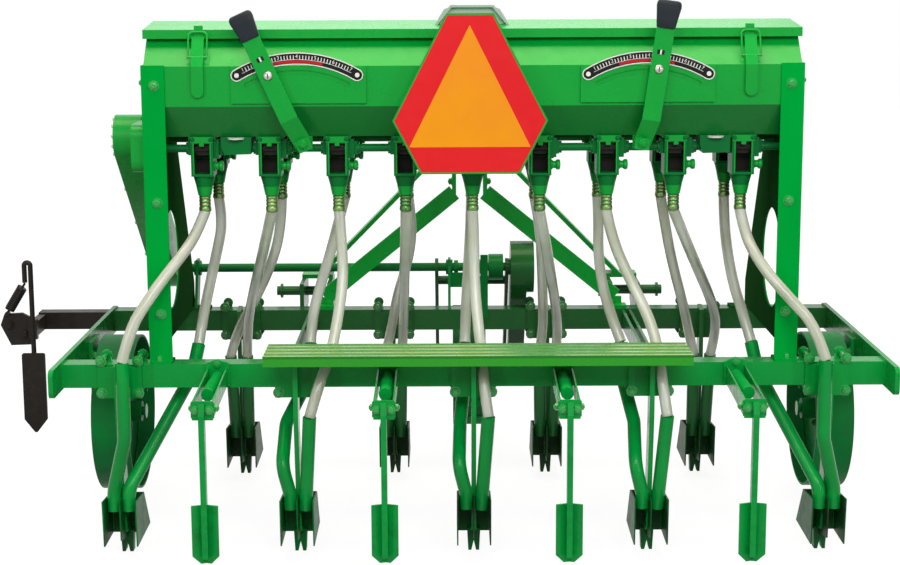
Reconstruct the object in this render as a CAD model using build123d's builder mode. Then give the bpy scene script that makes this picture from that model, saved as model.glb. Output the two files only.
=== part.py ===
"""Nine-row tine seed drill for a three-point hitch.

Frame while modelling: X across the machine to its right, Y forward to the tractor, Z up.
X = 0 is the centre line, Y = 0 the rear face of the rear bar, Z = 0 the ground under the points.
All pieces are written out shifted so that the origin is the bottom centre of the whole drill.
"""
import os
from math import atan2, cos, hypot, pi, radians, sin, tan

from build123d import *

os.makedirs("parts", exist_ok=True)

# ---------------------------------------------------------------- driving dimensions, mm
row_pitch = 222.0  # distance between seed rows
rear_tines = (-4, -2, 0, 2, 4)  # places on the rear bar, in rows from the middle
front_tines = (-3, -1, 1, 3)

bar = 60.0  # square tube of both tool bars
bar_wall = 5.0
bar_top = 494.0
bars_apart = 724.0  # rear face of the rear bar to rear face of the front bar
bar_half = 1036.0
member_t = 12.0  # side plates that join the two bars
member_back = -104.0

cup_pitch = 169.2
cup_rear_y = 100.0
cup_front_y = 370.0
hopper_half = 809.0
hopper_back = 20.0
hopper_front = 450.0
hopper_floor = 1060.0
hopper_rim = 1319.0
sheet = 3.0
lid_half = hopper_half + 6
lid_back = 60.0
lid_front = 410.0
lid_lip = 1303.0
lid_edge = 1325.0
lid_ridge = 1342.0
hinge_y = 413.0
hinge_z = 1299.0

shaft_r = 10.0
feed_z = 1028.0
cross_r = 12.5
cross_y = 800.0
cross_z = 607.0
running = 0.05  # radial play of shafts in their bearings

wheel_x = 957.0  # gauge wheels
wheel_r = 211.0
wheel_w = 100.0
wheel_y = 400.0
wheel_z = 275.0

drive_y = 1080.0  # ground-drive wheel
drive_z = 250.0
drive_r = 170.0
drive_w = 100.0
lug = 20.0
lug_count = 12

pin_y = 930.0  # lower link pins
pin_z = 515.0
pin_r = 14.0
pin_free = 72.0  # free end of the pin outside its collar
hitch_in = 408.0
hitch_out = 500.0
hitch_t = 12.0
top_y = 915.0  # top link hole
top_z = 1015.0
top_r = 12.9
top_in = 39.0

tube_r = 17.0  # seed tubes on the openers
tube_dx = 18.7
tube_y = -80.0  # mouths of the straight tubes, behind the bar's rear face
tube_foot = 128.0
rake = 50.0  # how far the shanks lean forward on their way down
hose_r = 14.0

bar_bottom = bar_top - bar
front_back = bars_apart
front_face = bars_apart + bar


# ---------------------------------------------------------------- small helpers
def block(x0, x1, y0, y1, z0, z1, mode=Mode.ADD):
    """Box between two corners."""
    with Locations(((x0 + x1) / 2, (y0 + y1) / 2, (z0 + z1) / 2)):
        Box(abs(x1 - x0), abs(y1 - y0), abs(z1 - z0), mode=mode)


def outline_on(plane, points, round_to=0.0):
    """Closed outline on a plane, with its corners rounded."""
    with BuildSketch(plane) as flat:
        with BuildLine():
            Polyline(*points, close=True)
        make_face()
        if round_to:
            fillet(flat.vertices(), round_to)
    return flat.sketch


def plate_x(points, x0, x1, round_to=0.0, mode=Mode.ADD):
    """Plate whose outline is (y, z), from x0 to x1."""
    low, high = min(x0, x1), max(x0, x1)
    extrude(outline_on(Plane.YZ.offset(low), points, round_to), amount=high - low, mode=mode)


def plate_y(points, y0, y1, round_to=0.0, mode=Mode.ADD):
    """Plate whose outline is (x, z), from y0 to y1."""
    extrude(outline_on(Plane.XZ.offset(-y1), points, round_to), amount=y1 - y0, mode=mode)


def plate_z(points, z0, z1, round_to=0.0, mode=Mode.ADD):
    """Plate whose outline is (x, y), from z0 to z1."""
    extrude(outline_on(Plane.XY.offset(z0), points, round_to), amount=z1 - z0, mode=mode)


def rod(start, end, r, mode=Mode.ADD):
    """Round bar between two points."""
    run = Vector(*end) - Vector(*start)
    with BuildSketch(Plane(origin=start, z_dir=run)) as disc:
        Circle(r)
    extrude(disc.sketch, amount=run.length, mode=mode)


def strip(points, width):
    """Outline of a flat of one width along two points."""
    (a0, b0), (a1, b1) = points
    run = hypot(a1 - a0, b1 - b0)
    da, db = -(b1 - b0) / run * width / 2, (a1 - a0) / run * width / 2
    return [(a0 + da, b0 + db), (a1 + da, b1 + db), (a1 - da, b1 - db), (a0 - da, b0 - db)]


def oval_x(centre_a, r_a, centre_b, r_b, x0, x1, mode=Mode.ADD):
    """Plate in the YZ plane round two circles and their outer tangents."""
    (ya, za), (yb, zb) = centre_a, centre_b
    run = hypot(yb - ya, zb - za)
    along = atan2(zb - za, yb - ya)
    lean = (r_a - r_b) / run
    side = pi / 2 - lean
    corners = []
    for turn, (y, z), r in ((side, centre_a, r_a), (side, centre_b, r_b),
                            (-side, centre_b, r_b), (-side, centre_a, r_a)):
        corners.append((y + r * cos(along + turn), z + r * sin(along + turn)))
    plate_x(corners, x0, x1, mode=mode)
    rod((x0, ya, za), (x1, ya, za), r_a, mode=mode)
    rod((x0, yb, zb), (x1, yb, zb), r_b, mode=mode)


def bent(points, r, radii):
    """Round bar or tube along straight runs joined by arcs."""
    with BuildLine() as path:
        FilletPolyline(*points, radius=radii)
    wire = path.wire()
    with BuildSketch(Plane(origin=wire @ 0, z_dir=wire % 0)) as disc:
        Circle(r)
    sweep(disc.sketch, path=wire)
    return wire.length


def bend_radii(points):
    """Radius of each corner: 0.45 of the shorter run over the tangent of half the turn."""
    spots = [Vector(*p) for p in points]
    found = []
    for before, here, after in zip(spots[:-2], spots[1:-1], spots[2:]):
        into, out = here - before, after - here
        half = radians(into.get_angle(out)) / 2
        found.append(0.45 * min(into.length, out.length) / tan(half))
    return found


pieces = []


def keep(builder, name):
    """Label a finished piece and put it on the list to write."""
    builder.part.label = name
    pieces.append((name, builder.part))


# ---------------------------------------------------------------- frame
with BuildPart() as rear_bar:
    block(-bar_half, bar_half, 0, bar, bar_bottom, bar_top)
    block(-bar_half - 1, bar_half + 1, bar_wall, bar - bar_wall,
          bar_bottom + bar_wall, bar_top - bar_wall, Mode.SUBTRACT)
keep(rear_bar, "rear_bar")

with BuildPart() as front_bar:
    block(-bar_half, bar_half, front_back, front_face, bar_bottom, bar_top)
    block(-bar_half - 1, bar_half + 1, front_back + bar_wall, front_face - bar_wall,
          bar_bottom + bar_wall, bar_top - bar_wall, Mode.SUBTRACT)
keep(front_bar, "front_bar")

marker_half = 24.9  # half width of the marker's sliding tube
bar_mid_z = bar_top - bar / 2
front_mid_y = front_back + bar / 2
with BuildPart() as side_members:
    for s in (-1, 1):
        low, high = bar_bottom - 5, bar_top + 6
        plate_x([(member_back, low), (member_back, high), (front_face + 6, high),
                 (front_face + 6, low)], s * bar_half, s * (bar_half + member_t), round_to=16)
    block(-bar_half - member_t - 1, -bar_half + 1, front_mid_y - marker_half - 6,
          front_mid_y + marker_half + 6, bar_mid_z - marker_half - 4, bar_mid_z + marker_half + 4,
          Mode.SUBTRACT)
keep(side_members, "side_members")

with BuildPart() as inner_longitudinals:
    for s in (-1, 1):
        for x in (441, 461):
            block(s * x, s * (x + 8), bar, front_back, bar_bottom + 8, bar_top - 2)
keep(inner_longitudinals, "inner_longitudinals")

# ---------------------------------------------------------------- hitch
with BuildPart() as hitch_plates:
    for s in (-1, 1):
        for x in (hitch_in, hitch_out - hitch_t):
            plate_x([(front_face, bar_bottom + 2), (front_face, 560), (pin_y + 36, 560),
                     (pin_y + 36, pin_z - 32), (pin_y - 40, bar_bottom + 2)],
                    s * x, s * (x + hitch_t))
            rod((s * (x - 1), pin_y, pin_z), (s * (x + hitch_t + 1), pin_y, pin_z),
                pin_r + running, Mode.SUBTRACT)
keep(hitch_plates, "hitch_plates")

with BuildPart() as lower_link_pins:
    for s in (-1, 1):
        rod((s * (hitch_in - 10), pin_y, pin_z), (s * (hitch_out + pin_free + 8), pin_y, pin_z), pin_r)
        rod((s * (hitch_in - 18), pin_y, pin_z), (s * (hitch_in - 10), pin_y, pin_z), pin_r + 7)
        rod((s * hitch_out, pin_y, pin_z), (s * (hitch_out + 8), pin_y, pin_z), pin_r + 8)
keep(lower_link_pins, "lower_link_pins")

mast_y0, mast_y1 = top_y - 33, top_y + 33
with BuildPart() as mast_legs:
    for s in (-1, 1):
        plate_y([(s * hitch_in, 560), (s * hitch_out, 560), (s * hitch_out, 572),
                 (s * 452, 572), (s * (top_in + 24), 968), (s * (top_in + 24), 1052),
                 (s * (top_in + 12), 1052), (s * (top_in + 12), 962), (s * 434, 572),
                 (s * hitch_in, 572)], mast_y0, mast_y1)
        rod((s * (top_in + 11), top_y, top_z), (s * (top_in + 25), top_y, top_z), top_r,
            Mode.SUBTRACT)
keep(mast_legs, "mast_legs")

with BuildPart() as top_link_clevis:
    for s in (-1, 1):
        plate_x([(mast_y0 - 10, 948), (mast_y1, 948), (mast_y1, 1052), (mast_y0 - 10, 1052)],
                s * top_in, s * (top_in + 12), round_to=14)
    rod((-top_in - 2, top_y - 18, 966), (top_in + 2, top_y - 18, 966), 10)
    rod((-top_in - 13, top_y, top_z), (top_in + 13, top_y, top_z), top_r, Mode.SUBTRACT)
keep(top_link_clevis, "top_link_clevis")

strap_y = front_face - 24
with BuildPart() as mast_braces:
    for s in (-1, 1):
        plate_y(strip([(s * 424, bar_top + 30), (s * (top_in + 6), 832)], 46),
                strap_y, strap_y + 12)
        block(s * 392, s * 456, strap_y - 34, strap_y + 12, bar_top, bar_top + 10)
        block(s * 400, s * 444, strap_y, strap_y + 12, bar_top, bar_top + 30)
        plate_x([(strap_y, 806), (strap_y + 30, 806), (mast_y0 - 10, 952), (mast_y0 - 10, 1014),
                 (strap_y + 24, 960), (strap_y, 920)], s * top_in, s * (top_in + 12))
keep(mast_braces, "mast_braces")


# ---------------------------------------------------------------- hopper
rim_back, rim_front = hopper_back + 65, hopper_front - 65
mid_y = (hopper_back + hopper_front) / 2
hopper_outline = [(rim_back, hopper_rim), (rim_back, 1302), (hopper_back, 1237), (hopper_back, 1138),
                  (cup_rear_y - 30, hopper_floor), (cup_rear_y + 30, hopper_floor), (mid_y, 1130),
                  (cup_front_y - 30, hopper_floor), (cup_front_y + 30, hopper_floor),
                  (hopper_front, 1138), (hopper_front, 1237), (rim_front, 1302),
                  (rim_front, hopper_rim)]
t = sheet
hopper_rooms = [
    [(rim_back + t, hopper_rim + 5), (rim_back + t, 1300), (hopper_back + t, 1235.5),
     (hopper_back + t, 1139), (cup_rear_y - 28, hopper_floor + t), (cup_rear_y + 29, hopper_floor + t),
     (mid_y - t / 2, 1133), (mid_y - t / 2, hopper_rim + 5)],
    [(mid_y + t / 2, hopper_rim + 5), (mid_y + t / 2, 1133), (cup_front_y - 29, hopper_floor + t),
     (cup_front_y + 28, hopper_floor + t), (hopper_front - t, 1139), (hopper_front - t, 1235.5),
     (rim_front - t, 1300), (rim_front - t, hopper_rim + 5)],
]
cup_places = [(i - 4) * cup_pitch for i in range(9)]
with BuildPart() as hopper:
    plate_x(hopper_outline, -hopper_half, hopper_half)
    for room in hopper_rooms:
        plate_x(room, -hopper_half + t, hopper_half - t, mode=Mode.SUBTRACT)
    for y in (cup_rear_y, cup_front_y):
        for x in cup_places:
            block(x - 15, x + 15, y - 15, y + 15, hopper_floor - 1, hopper_floor + t + 1,
                  Mode.SUBTRACT)
keep(hopper, "hopper")

hinge_places = (-600, 0, 600)
with BuildPart() as lid_hinge_brackets:
    for x in hinge_places:
        for e in (x - 26, x + 22):
            plate_x([(rim_front + 2.5, 1299.5), (rim_front + 14, 1288), (hinge_y, hinge_z - 4.5),
                     (hinge_y, hinge_z + 4), (hinge_y - 5, hinge_z - 0.5)], e, e + 4)
            rod((e, hinge_y, hinge_z), (e + 4, hinge_y, hinge_z), 4.5)
        rod((x - 30, hinge_y, hinge_z), (x + 30, hinge_y, hinge_z), 3)
keep(lid_hinge_brackets, "lid_hinge_brackets")

latch_places = (-676, 684)
lid_outline = [(lid_back, lid_lip), (lid_back, lid_edge), (mid_y, lid_ridge),
               (lid_front, lid_edge), (lid_front, lid_lip)]
with BuildPart() as hopper_lid:
    plate_x(lid_outline, -lid_half, lid_half)
    plate_x([(lid_back + t, lid_lip - 1), (lid_back + t, lid_edge - 2.8), (mid_y, lid_ridge - t),
             (lid_front - t, lid_edge - 2.8), (lid_front - t, lid_lip - 1)],
            -lid_half + t, lid_half - t, mode=Mode.SUBTRACT)
    for x in latch_places:
        block(x - 11, x + 11, lid_back - 4, lid_back, lid_lip + 4, lid_edge + 10)
    for x in hinge_places:
        block(x - 18, x + 18, lid_front - t, lid_front, hinge_z - 2, lid_lip + 1)
        rod((x - 18, hinge_y, hinge_z), (x + 18, hinge_y, hinge_z), 6)
        rod((x - 19, hinge_y, hinge_z), (x + 19, hinge_y, hinge_z), 3 + running, Mode.SUBTRACT)
keep(hopper_lid, "hopper_lid")

handle_y = 150.0
with BuildPart() as lid_handle:
    foot, grip = lid_edge + 3, lid_ridge + 39
    plate_y([(-98, foot), (-54, grip), (54, grip), (98, foot)], handle_y - 17, handle_y + 17)
    plate_y([(-91, foot - 1), (-51, grip - 5.5), (51, grip - 5.5), (91, foot - 1)],
            handle_y - 18, handle_y + 18, mode=Mode.SUBTRACT)
    plate_x(lid_outline, -120, 120, mode=Mode.SUBTRACT)
keep(lid_handle, "lid_handle")

latch_half = 15.0
bend_z = 1237.0  # where the back wall of the hopper starts to lean
with BuildPart() as lid_latches:
    for x in latch_places:
        leaf_y = hopper_back - 11
        plate_x([(leaf_y, bend_z), (leaf_y + 3, bend_z - 1), (lid_back - 13, lid_edge - 19),
                 (lid_back - 15, lid_edge - 16)], x - latch_half, x + latch_half)
        block(x - latch_half, x + latch_half, leaf_y, leaf_y + 3, 1176, bend_z)
        rod((x, leaf_y, 1176), (x, leaf_y + 3, 1176), latch_half)
        block(x - 9, x + 9, leaf_y + 3, hopper_back, 1182, bend_z - 8)
        foot_y, foot_z = leaf_y + 14, bend_z + 22
        rod((x - 26, foot_y, foot_z), (x + 26, foot_y, foot_z), 3)
        hook_y, hook_z = lid_back - 15, lid_lip + 17
        bent([(x - 23, foot_y, foot_z), (x - 23, hook_y, hook_z), (x + 23, hook_y, hook_z),
              (x + 23, foot_y, foot_z)], 2.5, 12)
keep(lid_latches, "lid_latches")

hole_y, hole_z, hole_r = 380.0, 700.0, 135.0
with BuildPart() as hopper_side_plates:
    for s in (-1, 1):
        inner, outer = s * hopper_half, s * (hopper_half + 6)
        flange, beyond = s * (hopper_half - 51), s * (hopper_half + 10)
        side_top = hopper_rim - 79
        plate_x([(14, bar_top), (14, side_top), (hopper_front + 6, side_top),
                 (hopper_front + 6, 1130), (front_face, 570), (front_face, bar_top)], inner, outer)
        rod((inner - s * 5, hole_y, hole_z), (beyond, hole_y, hole_z), hole_r, Mode.SUBTRACT)
        block(flange, outer, 14, hopper_back, bar_top, side_top)
        block(flange, outer, 0, bar, bar_top, bar_top + 6)
        block(flange, outer, front_back, front_face, bar_top, bar_top + 6)
        for y in (cup_rear_y, cup_front_y):
            rod((inner - s * 5, y, feed_z), (beyond, y, feed_z), shaft_r + running, Mode.SUBTRACT)
keep(hopper_side_plates, "hopper_side_plates")

# ---------------------------------------------------------------- rate setting and plate
# columns: middle of the scale; panel's left and right edge; pivot x, z; fold x, z; grip's foot x, z
levers = ((-431, -594, -262, -420, 1045, -451, 1107, -540, 1303),
          (431, 265, 595, 420, 1046, 437, 1103, 469, 1326))
panel_y = hopper_back - 8
band_r, band_half, band_top, band_turn = 287.0, 15.0, 1256.0, 31.0
slot_r, slot_half, slot_top, slot_turn = 270.0, 5.5, 1222.0, 27.5


def arc_band(middle, top, r, half, turn):
    """Band along an arc with round ends, its middle line reaching up to top."""
    centre = top - r
    across, up = sin(radians(turn)), cos(radians(turn))
    with BuildSketch() as band:
        with Locations((middle, centre)):
            Circle(r + half)
            Circle(r - half, mode=Mode.SUBTRACT)
        with BuildLine():
            Polyline((middle, centre), (middle + 2 * r * across, centre + 2 * r * up),
                     (middle - 2 * r * across, centre + 2 * r * up), close=True)
        make_face(mode=Mode.INTERSECT)
        with Locations((middle - r * across, centre + r * up), (middle + r * across, centre + r * up)):
            Circle(half)
    return band.sketch


def raise_flat(sketch, y0, y1, mode=Mode.ADD):
    """Plate between y0 and y1 from a sketch in x and z."""
    extrude(Plane.XZ.offset(-y1) * sketch, amount=y1 - y0, mode=mode)


with BuildPart() as quadrant_plates:
    for middle, left, right, *_ in levers:
        block(left, right, panel_y, hopper_back, 1146, bend_z - 2)
        raise_flat(arc_band(middle, slot_top, slot_r, slot_half, slot_turn), panel_y - 1,
                   panel_y + 4, Mode.SUBTRACT)
        raise_flat(arc_band(middle, band_top, band_r, band_half, band_turn), panel_y - 3, panel_y)
keep(quadrant_plates, "quadrant_plates")

strap_w, strap_t = 45.0, 6.0
lever_y = -7.0  # middle of the strap's thickness
pivot_y = 30.0
grip_height = 68.0
with BuildPart() as rate_levers:
    for *_, pivot_x, pivot_z, fold_x, fold_z, foot_x, foot_z in levers:
        fold, foot = Vector(fold_x, lever_y, fold_z), Vector(foot_x, lever_y, foot_z)
        across = (foot - fold).cross(Vector(0, 1, 0)).normalized()
        lean = Vector(pivot_x, pivot_y, pivot_z) - fold
        side = lean.dot(across)
        down = lean - across * side
        plate_y(strip([(fold_x, fold_z), (foot_x, foot_z)], strap_w), lever_y - strap_t / 2,
                lever_y + strap_t / 2)
        with BuildSketch(Plane(origin=fold, x_dir=across, z_dir=across.cross(down))) as lower:
            w, run = strap_w / 2, down.length
            with BuildLine():
                Polyline((-w, 0), (w, 0), (side + w, run), (side - w, run), close=True)
            make_face()
            with Locations((side, run)):
                Circle(w)
        extrude(lower.sketch, amount=strap_t / 2, both=True)
        rod(fold - across * w, fold + across * w, strap_t / 2)
        rod((pivot_x, pivot_y - 10, pivot_z), (pivot_x, cup_rear_y - 22, pivot_z), 9)
        block(pivot_x - 20, pivot_x + 20, cup_rear_y - 30, cup_rear_y - 22, pivot_z - 20,
              hopper_floor)
keep(rate_levers, "rate_levers")

with BuildPart() as lever_grips:
    for *_, fold_x, fold_z, foot_x, foot_z in levers:
        up = Vector(foot_x - fold_x, 0, foot_z - fold_z).normalized()
        for share, wide, deep in ((0, 47, 17), (0.8, 61, 30), (1, 50, 18)):
            spot = Vector(foot_x, lever_y, foot_z) + up * grip_height * share
            with BuildSketch(Plane(origin=spot, x_dir=up.cross(Vector(0, 1, 0)), z_dir=up)):
                RectangleRounded(wide, deep, deep / 3)
        loft(ruled=True)
keep(lever_grips, "lever_grips")

sign_x, sign_y = -7.0, -42.0
with BuildPart() as slow_vehicle_plate:
    plate_y([(sign_x - 57, 1365), (sign_x + 57, 1365), (sign_x + 190, 1106), (sign_x + 122, 976),
             (sign_x - 122, 976), (sign_x - 190, 1106)], sign_y, sign_y + 3)
    for x in (sign_x - 70, sign_x + 70):
        rod((x, sign_y + 3, 1190), (x, hopper_back, 1190), 8)
keep(slow_vehicle_plate, "slow_vehicle_plate")

# ---------------------------------------------------------------- metering
cup_drop = 869.0
with BuildPart() as feed_cups:
    for y in (cup_rear_y, cup_front_y):
        for x in cup_places:
            block(x - 28, x + 28, y - 34, y + 34, 960, hopper_floor)
            block(x - 24, x + 24, y - 30, y + 30, 964, hopper_floor - 4, Mode.SUBTRACT)
            block(x - 14, x + 14, y - 14, y + 14, hopper_floor - 5, hopper_floor + 1,
                  Mode.SUBTRACT)
            block(x - 20, x + 20, y - 35, y - 29, 966, 1042, Mode.SUBTRACT)
            rod((x - 29, y, feed_z), (x + 29, y, feed_z), shaft_r + 6, Mode.SUBTRACT)
            with Locations((x, y, (960 + 907) / 2)):
                Cone(14, 28, 960 - 907)
            rod((x, y, 907), (x, y, cup_drop), 12.5)
            rod((x + 28, y - 14, 985), (x + 44, y - 14, 985), 9)
keep(feed_cups, "feed_cups")

flutes = 8
roller_r = 20.0
for name, y in (("rear_feed_shaft", cup_rear_y), ("front_feed_shaft", cup_front_y)):
    with BuildPart() as feed_shaft:
        rod((-hopper_half - 26, y, feed_z), (hopper_half + 14, y, feed_z), shaft_r)
        star = []
        for k in range(2 * flutes):
            r = roller_r if k % 2 == 0 else roller_r - 5
            star.append((y + r * cos(k * pi / flutes), feed_z + r * sin(k * pi / flutes)))
        for x in cup_places:
            plate_x(star, x - 15, x + 15)
    keep(feed_shaft, name)

# ---------------------------------------------------------------- openers
# each tine: rows from the middle, rear face of its bar
tines = [(n, 0.0) for n in rear_tines] + [(n, front_back) for n in front_tines]
with BuildPart() as tine_shanks:
    for n, back in tines:
        x = n * row_pitch
        plate_x([(back - 12, bar_top + 16), (back - 62, bar_top + 8), (back - 62, 370),
                 (back - 62 + rake, 60), (back - 12 + rake, 60), (back - 12, 370)], x - 6, x + 6)
keep(tine_shanks, "tine_shanks")

with BuildPart() as tine_clamps:
    for n, back in tines:
        x = n * row_pitch
        low, high = bar_bottom - 24, bar_top + 20
        block(x - 55, x + 55, back - 12, back, low, bar_top - 5)
        for s in (-1, 1):
            block(x + s * 37, x + s * 55, back - 12, back, bar_top - 5, high)
            block(x + s * 34, x + s * 55, back + bar, back + bar + 8, low, high)
            for z in (bar_bottom - 11, bar_top + 11):
                rod((x + s * 46, back - 22, z), (x + s * 46, back + bar + 18, z), 6)
keep(tine_clamps, "tine_clamps")

with BuildPart() as furrow_openers:
    for n, bar_back in tines:
        x = n * row_pitch
        back = bar_back + rake
        for s in (-1, 1):
            plate_x([(back - 138, 162), (back - 16, 152), (back + 62, 46), (back - 128, 42)],
                    x + s * 39.5, x + s * 43)
        plate_x([(back - 128, 160), (back - 81, 160), (back - 63, 58), (back - 11, 58),
                 (back - 11, 36), (back - 122, 56)], x - 1.5, x + 1.5)
        block(x - 41, x + 41, back - 11, back - 7, 44, 150)
        plate_y([(x - 17, 57), (x - 14, 0), (x - 6, 0), (x, 26), (x + 6, 0), (x + 14, 0),
                 (x + 17, 57)], back - 36, back - 8)
keep(furrow_openers, "furrow_openers")

# rear openers, columns: rows from the middle, side of the straight tube, x of its mouth from
# the shank, its top z, x of the second tube's top
rear_tubes = ((-4, -1, 20, 517, -710), (-2, 1, 36, 375, -420), (0, 1, 36, 375, -20),
              (2, 1, 36, 375, 385), (4, 1, -20, 517, 722))
foot_y = tube_y + rake - 6
second_top_y, second_top_z = 150.0, 515.0
with BuildPart() as seed_tubes:
    for n, side, mouth_x, top, far_x in rear_tubes:
        x = n * row_pitch
        foot_x = x + side * tube_dx
        if top > 400:
            bent([(foot_x, foot_y - 9, tube_foot), (foot_x, foot_y - 9, 178),
                  (x + mouth_x, tube_y - 5, 320),
                  (x + mouth_x, tube_y - 5, top)], tube_r, 70)
        else:
            rod((foot_x, foot_y, tube_foot), (x + mouth_x, tube_y, top), tube_r)
        foot_x = x - side * tube_dx
        if abs(n) == 4:
            route = [(foot_x, foot_y - 9, tube_foot), (foot_x, foot_y - 9, 182),
                     (far_x + side * 16, 128, 440), (far_x, second_top_y, second_top_z)]
        else:
            route = [(foot_x, foot_y, tube_foot), (foot_x - side, foot_y - 2, 166),
                     (foot_x - side * 19, foot_y - 9, 240), (foot_x - side * 15, 44, 330),
                     (far_x, 136, 436), (far_x, second_top_y, second_top_z)]
        bent(route, tube_r, 60)
    for n in front_tines:
        for side in (-1, 1):
            x = n * row_pitch
            rod((x + side * tube_dx, front_back + foot_y, tube_foot),
                (x + side * (tube_dx + 5), front_back + tube_y, 375), tube_r)
keep(seed_tubes, "seed_tubes")

# ---------------------------------------------------------------- step board
step_left, step_right, step_back, step_front, step_z = -513.0, 531.0, -165.0, -15.0, 540.0
with BuildPart() as step_board:
    profile = [(step_back, step_z - 18), (step_back, step_z + 8)]
    ribs = 4
    pitch = (step_front - step_back) / ribs
    for k in range(ribs):
        y = step_back + k * pitch
        profile += [(y + pitch * 0.35, step_z + 8), (y + pitch * 0.5, step_z + 3),
                    (y + pitch * 0.85, step_z + 3), (y + pitch, step_z + 8)]
    profile += [(step_front, step_z), (step_back + 4, step_z), (step_back + 4, step_z - 18)]
    plate_x(profile, step_left, step_right)
    for s in (-1, 1):
        for x in (120, 290):
            plate_x([(50, bar_top), (50, bar_top + 6), (6, step_z), (-140, step_z),
                     (-140, step_z - 8), (-6, bar_top + 2), (-6, bar_top)], s * x, s * (x + 6))
keep(step_board, "step_board")

# ---------------------------------------------------------------- covering tines
arm_back = -300.0
covering_places = (-642, -215, 223, 658)
with BuildPart() as covering_arms:
    for x in covering_places:
        plate_y([(x - 30, 440), (x - 30, 496), (x, 508), (x + 30, 496), (x + 30, 440)], -10, 0)
        for s in (-1, 1):
            plate_x([(-10, 488), (-10, 444), (arm_back, 428), (arm_back, 470)],
                    x + s * 21, x + s * 25)
        block(x - 25, x + 25, arm_back - 5, arm_back, 426, 472)
        rod((x - 24, arm_back + 26, 448), (x + 24, arm_back + 26, 448), 6)
keep(covering_arms, "covering_arms")

coils = 9
with BuildPart() as covering_springs:
    for x in covering_places:
        wave = [(0, -10)]
        for k in range(coils):
            wave += [(12, -10 - (k + 0.1) * 22), (16, -10 - (k + 0.5) * 22)]
        wave += [(12, -10 - coils * 22), (0, -10 - coils * 22)]
        with BuildSketch(Plane(origin=(x, 0, 464), x_dir=(1, 0, 0), z_dir=(0, 0, 1))) as half:
            with BuildLine():
                Polyline(*wave, close=True)
            make_face()
        revolve(half.sketch, axis=Axis((x, 0, 464), (0, 1, 0)))
keep(covering_springs, "covering_springs")

shovel_low = 74.0
with BuildPart() as covering_tines:
    for x in covering_places:
        plate_x([(arm_back - 5, 466), (arm_back - 22, 470), (arm_back - 30, 440),
                 (arm_back - 22, 90), (arm_back - 5, 90)], x - 7, x + 7)
        with BuildSketch(Plane.XY.offset(shovel_low)) as fold:
            with BuildLine():
                Polyline((x - 32, arm_back - 12), (x, arm_back), (x + 32, arm_back - 12),
                         (x + 32, arm_back - 6), (x, arm_back + 6), (x - 32, arm_back - 6),
                         close=True)
            make_face()
        extrude(fold.sketch, amount=144)
        for s in (-1, 1):
            plate_y([(x + s * 40, shovel_low - 8), (x + s * 40, shovel_low + 29),
                     (x + s * 5, shovel_low - 8)],
                    arm_back - 30, arm_back + 10, mode=Mode.SUBTRACT)
        block(x - 6, x + 6, arm_back - 8, arm_back - 1, 92, 200)
keep(covering_tines, "covering_tines")


# ---------------------------------------------------------------- marker
m_y0, m_y1 = front_mid_y - marker_half, front_mid_y + marker_half
m_z0, m_z1 = bar_mid_z - marker_half, bar_mid_z + marker_half
arm_x0, arm_x1 = -1258.0, -1236.0
with BuildPart() as marker_tube:
    block(arm_x0, -760, m_y0, m_y1, m_z0, m_z1)
    block(arm_x0 - 1, -759, m_y0 + 4, m_y1 - 4, m_z0 + 4, m_z1 - 4, Mode.SUBTRACT)
    block(arm_x0, arm_x1, 560, m_y0, m_z0 + 4, m_z1 - 4)
    plate_y([(-1324, 488), (-1312, 520), (-1262, 522), (-1236, 508), (-1236, 432), (-1296, 430)],
            548, 560)
keep(marker_tube, "marker_tube")

marker_x, marker_y, marker_r = -1230.0, 534.0, 7.0
eye_x, eye_z = marker_x - 17, 612.0
with BuildPart() as marker_tine:
    rod((marker_x, marker_y, 300), (marker_x, marker_y, 620), marker_r)
    bent([(marker_x, marker_y, 620), (marker_x, marker_y, 668), (eye_x, marker_y, 668),
          (eye_x, marker_y, eye_z)], marker_r, 8.4)
    plate_y([(marker_x - 32, 412), (marker_x + 33, 412), (marker_x + 33, 222), (marker_x, 180),
             (marker_x - 32, 222)], marker_y - 14, marker_y - 6, round_to=6)
    block(marker_x - 12, marker_x + 12, marker_y - 4, 548, 450, 506)
keep(marker_tine, "marker_tine")

spring_low = Vector(-1300, marker_y, 524)
spring_top = Vector(eye_x, marker_y, eye_z - 2.2)
with BuildPart() as marker_spring:
    run = spring_low - spring_top
    with BuildSketch(Plane(origin=spring_top, x_dir=(0, 1, 0), z_dir=run.cross(Vector(0, 1, 0)) * -1)):
        with BuildLine():
            turns = 10
            step = run.length * 0.8 / turns
            start = run.length * 0.1
            wave = [(0, start)]
            for k in range(turns):
                wave += [(11, start + (k + 0.1) * step), (15, start + (k + 0.5) * step)]
            wave += [(11, start + turns * step), (0, start + turns * step)]
            Polyline(*wave, close=True)
        make_face()
    revolve(axis=Axis(tuple(spring_top), tuple(run)))
    rod(spring_top, spring_top + run, 4)
    rod(spring_low + Vector(0, -6, 0), (-1300, 548, 524), 6)
keep(marker_spring, "marker_spring")

# ---------------------------------------------------------------- gauge wheels
axle_r = 12.0
with BuildPart() as gauge_wheel_brackets:
    for s in (-1, 1):
        plate_x([(wheel_y - 55, bar_top - 14), (wheel_y + 55, bar_top - 14),
                 (wheel_y + 55, bar_bottom - 14), (wheel_y + 30, wheel_z - 30),
                 (wheel_y - 30, wheel_z - 30), (wheel_y - 55, bar_bottom - 14)],
                s * (bar_half - 10), s * bar_half)
        rod((s * (bar_half - 8), wheel_y, wheel_z), (s * (wheel_x - wheel_w / 2 - 12), wheel_y, wheel_z),
            axle_r)
        rod((s * (wheel_x - wheel_w / 2 - 12), wheel_y, wheel_z),
            (s * (wheel_x - wheel_w / 2 - 6), wheel_y, wheel_z), axle_r + 8)
keep(gauge_wheel_brackets, "gauge_wheel_brackets")

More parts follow.
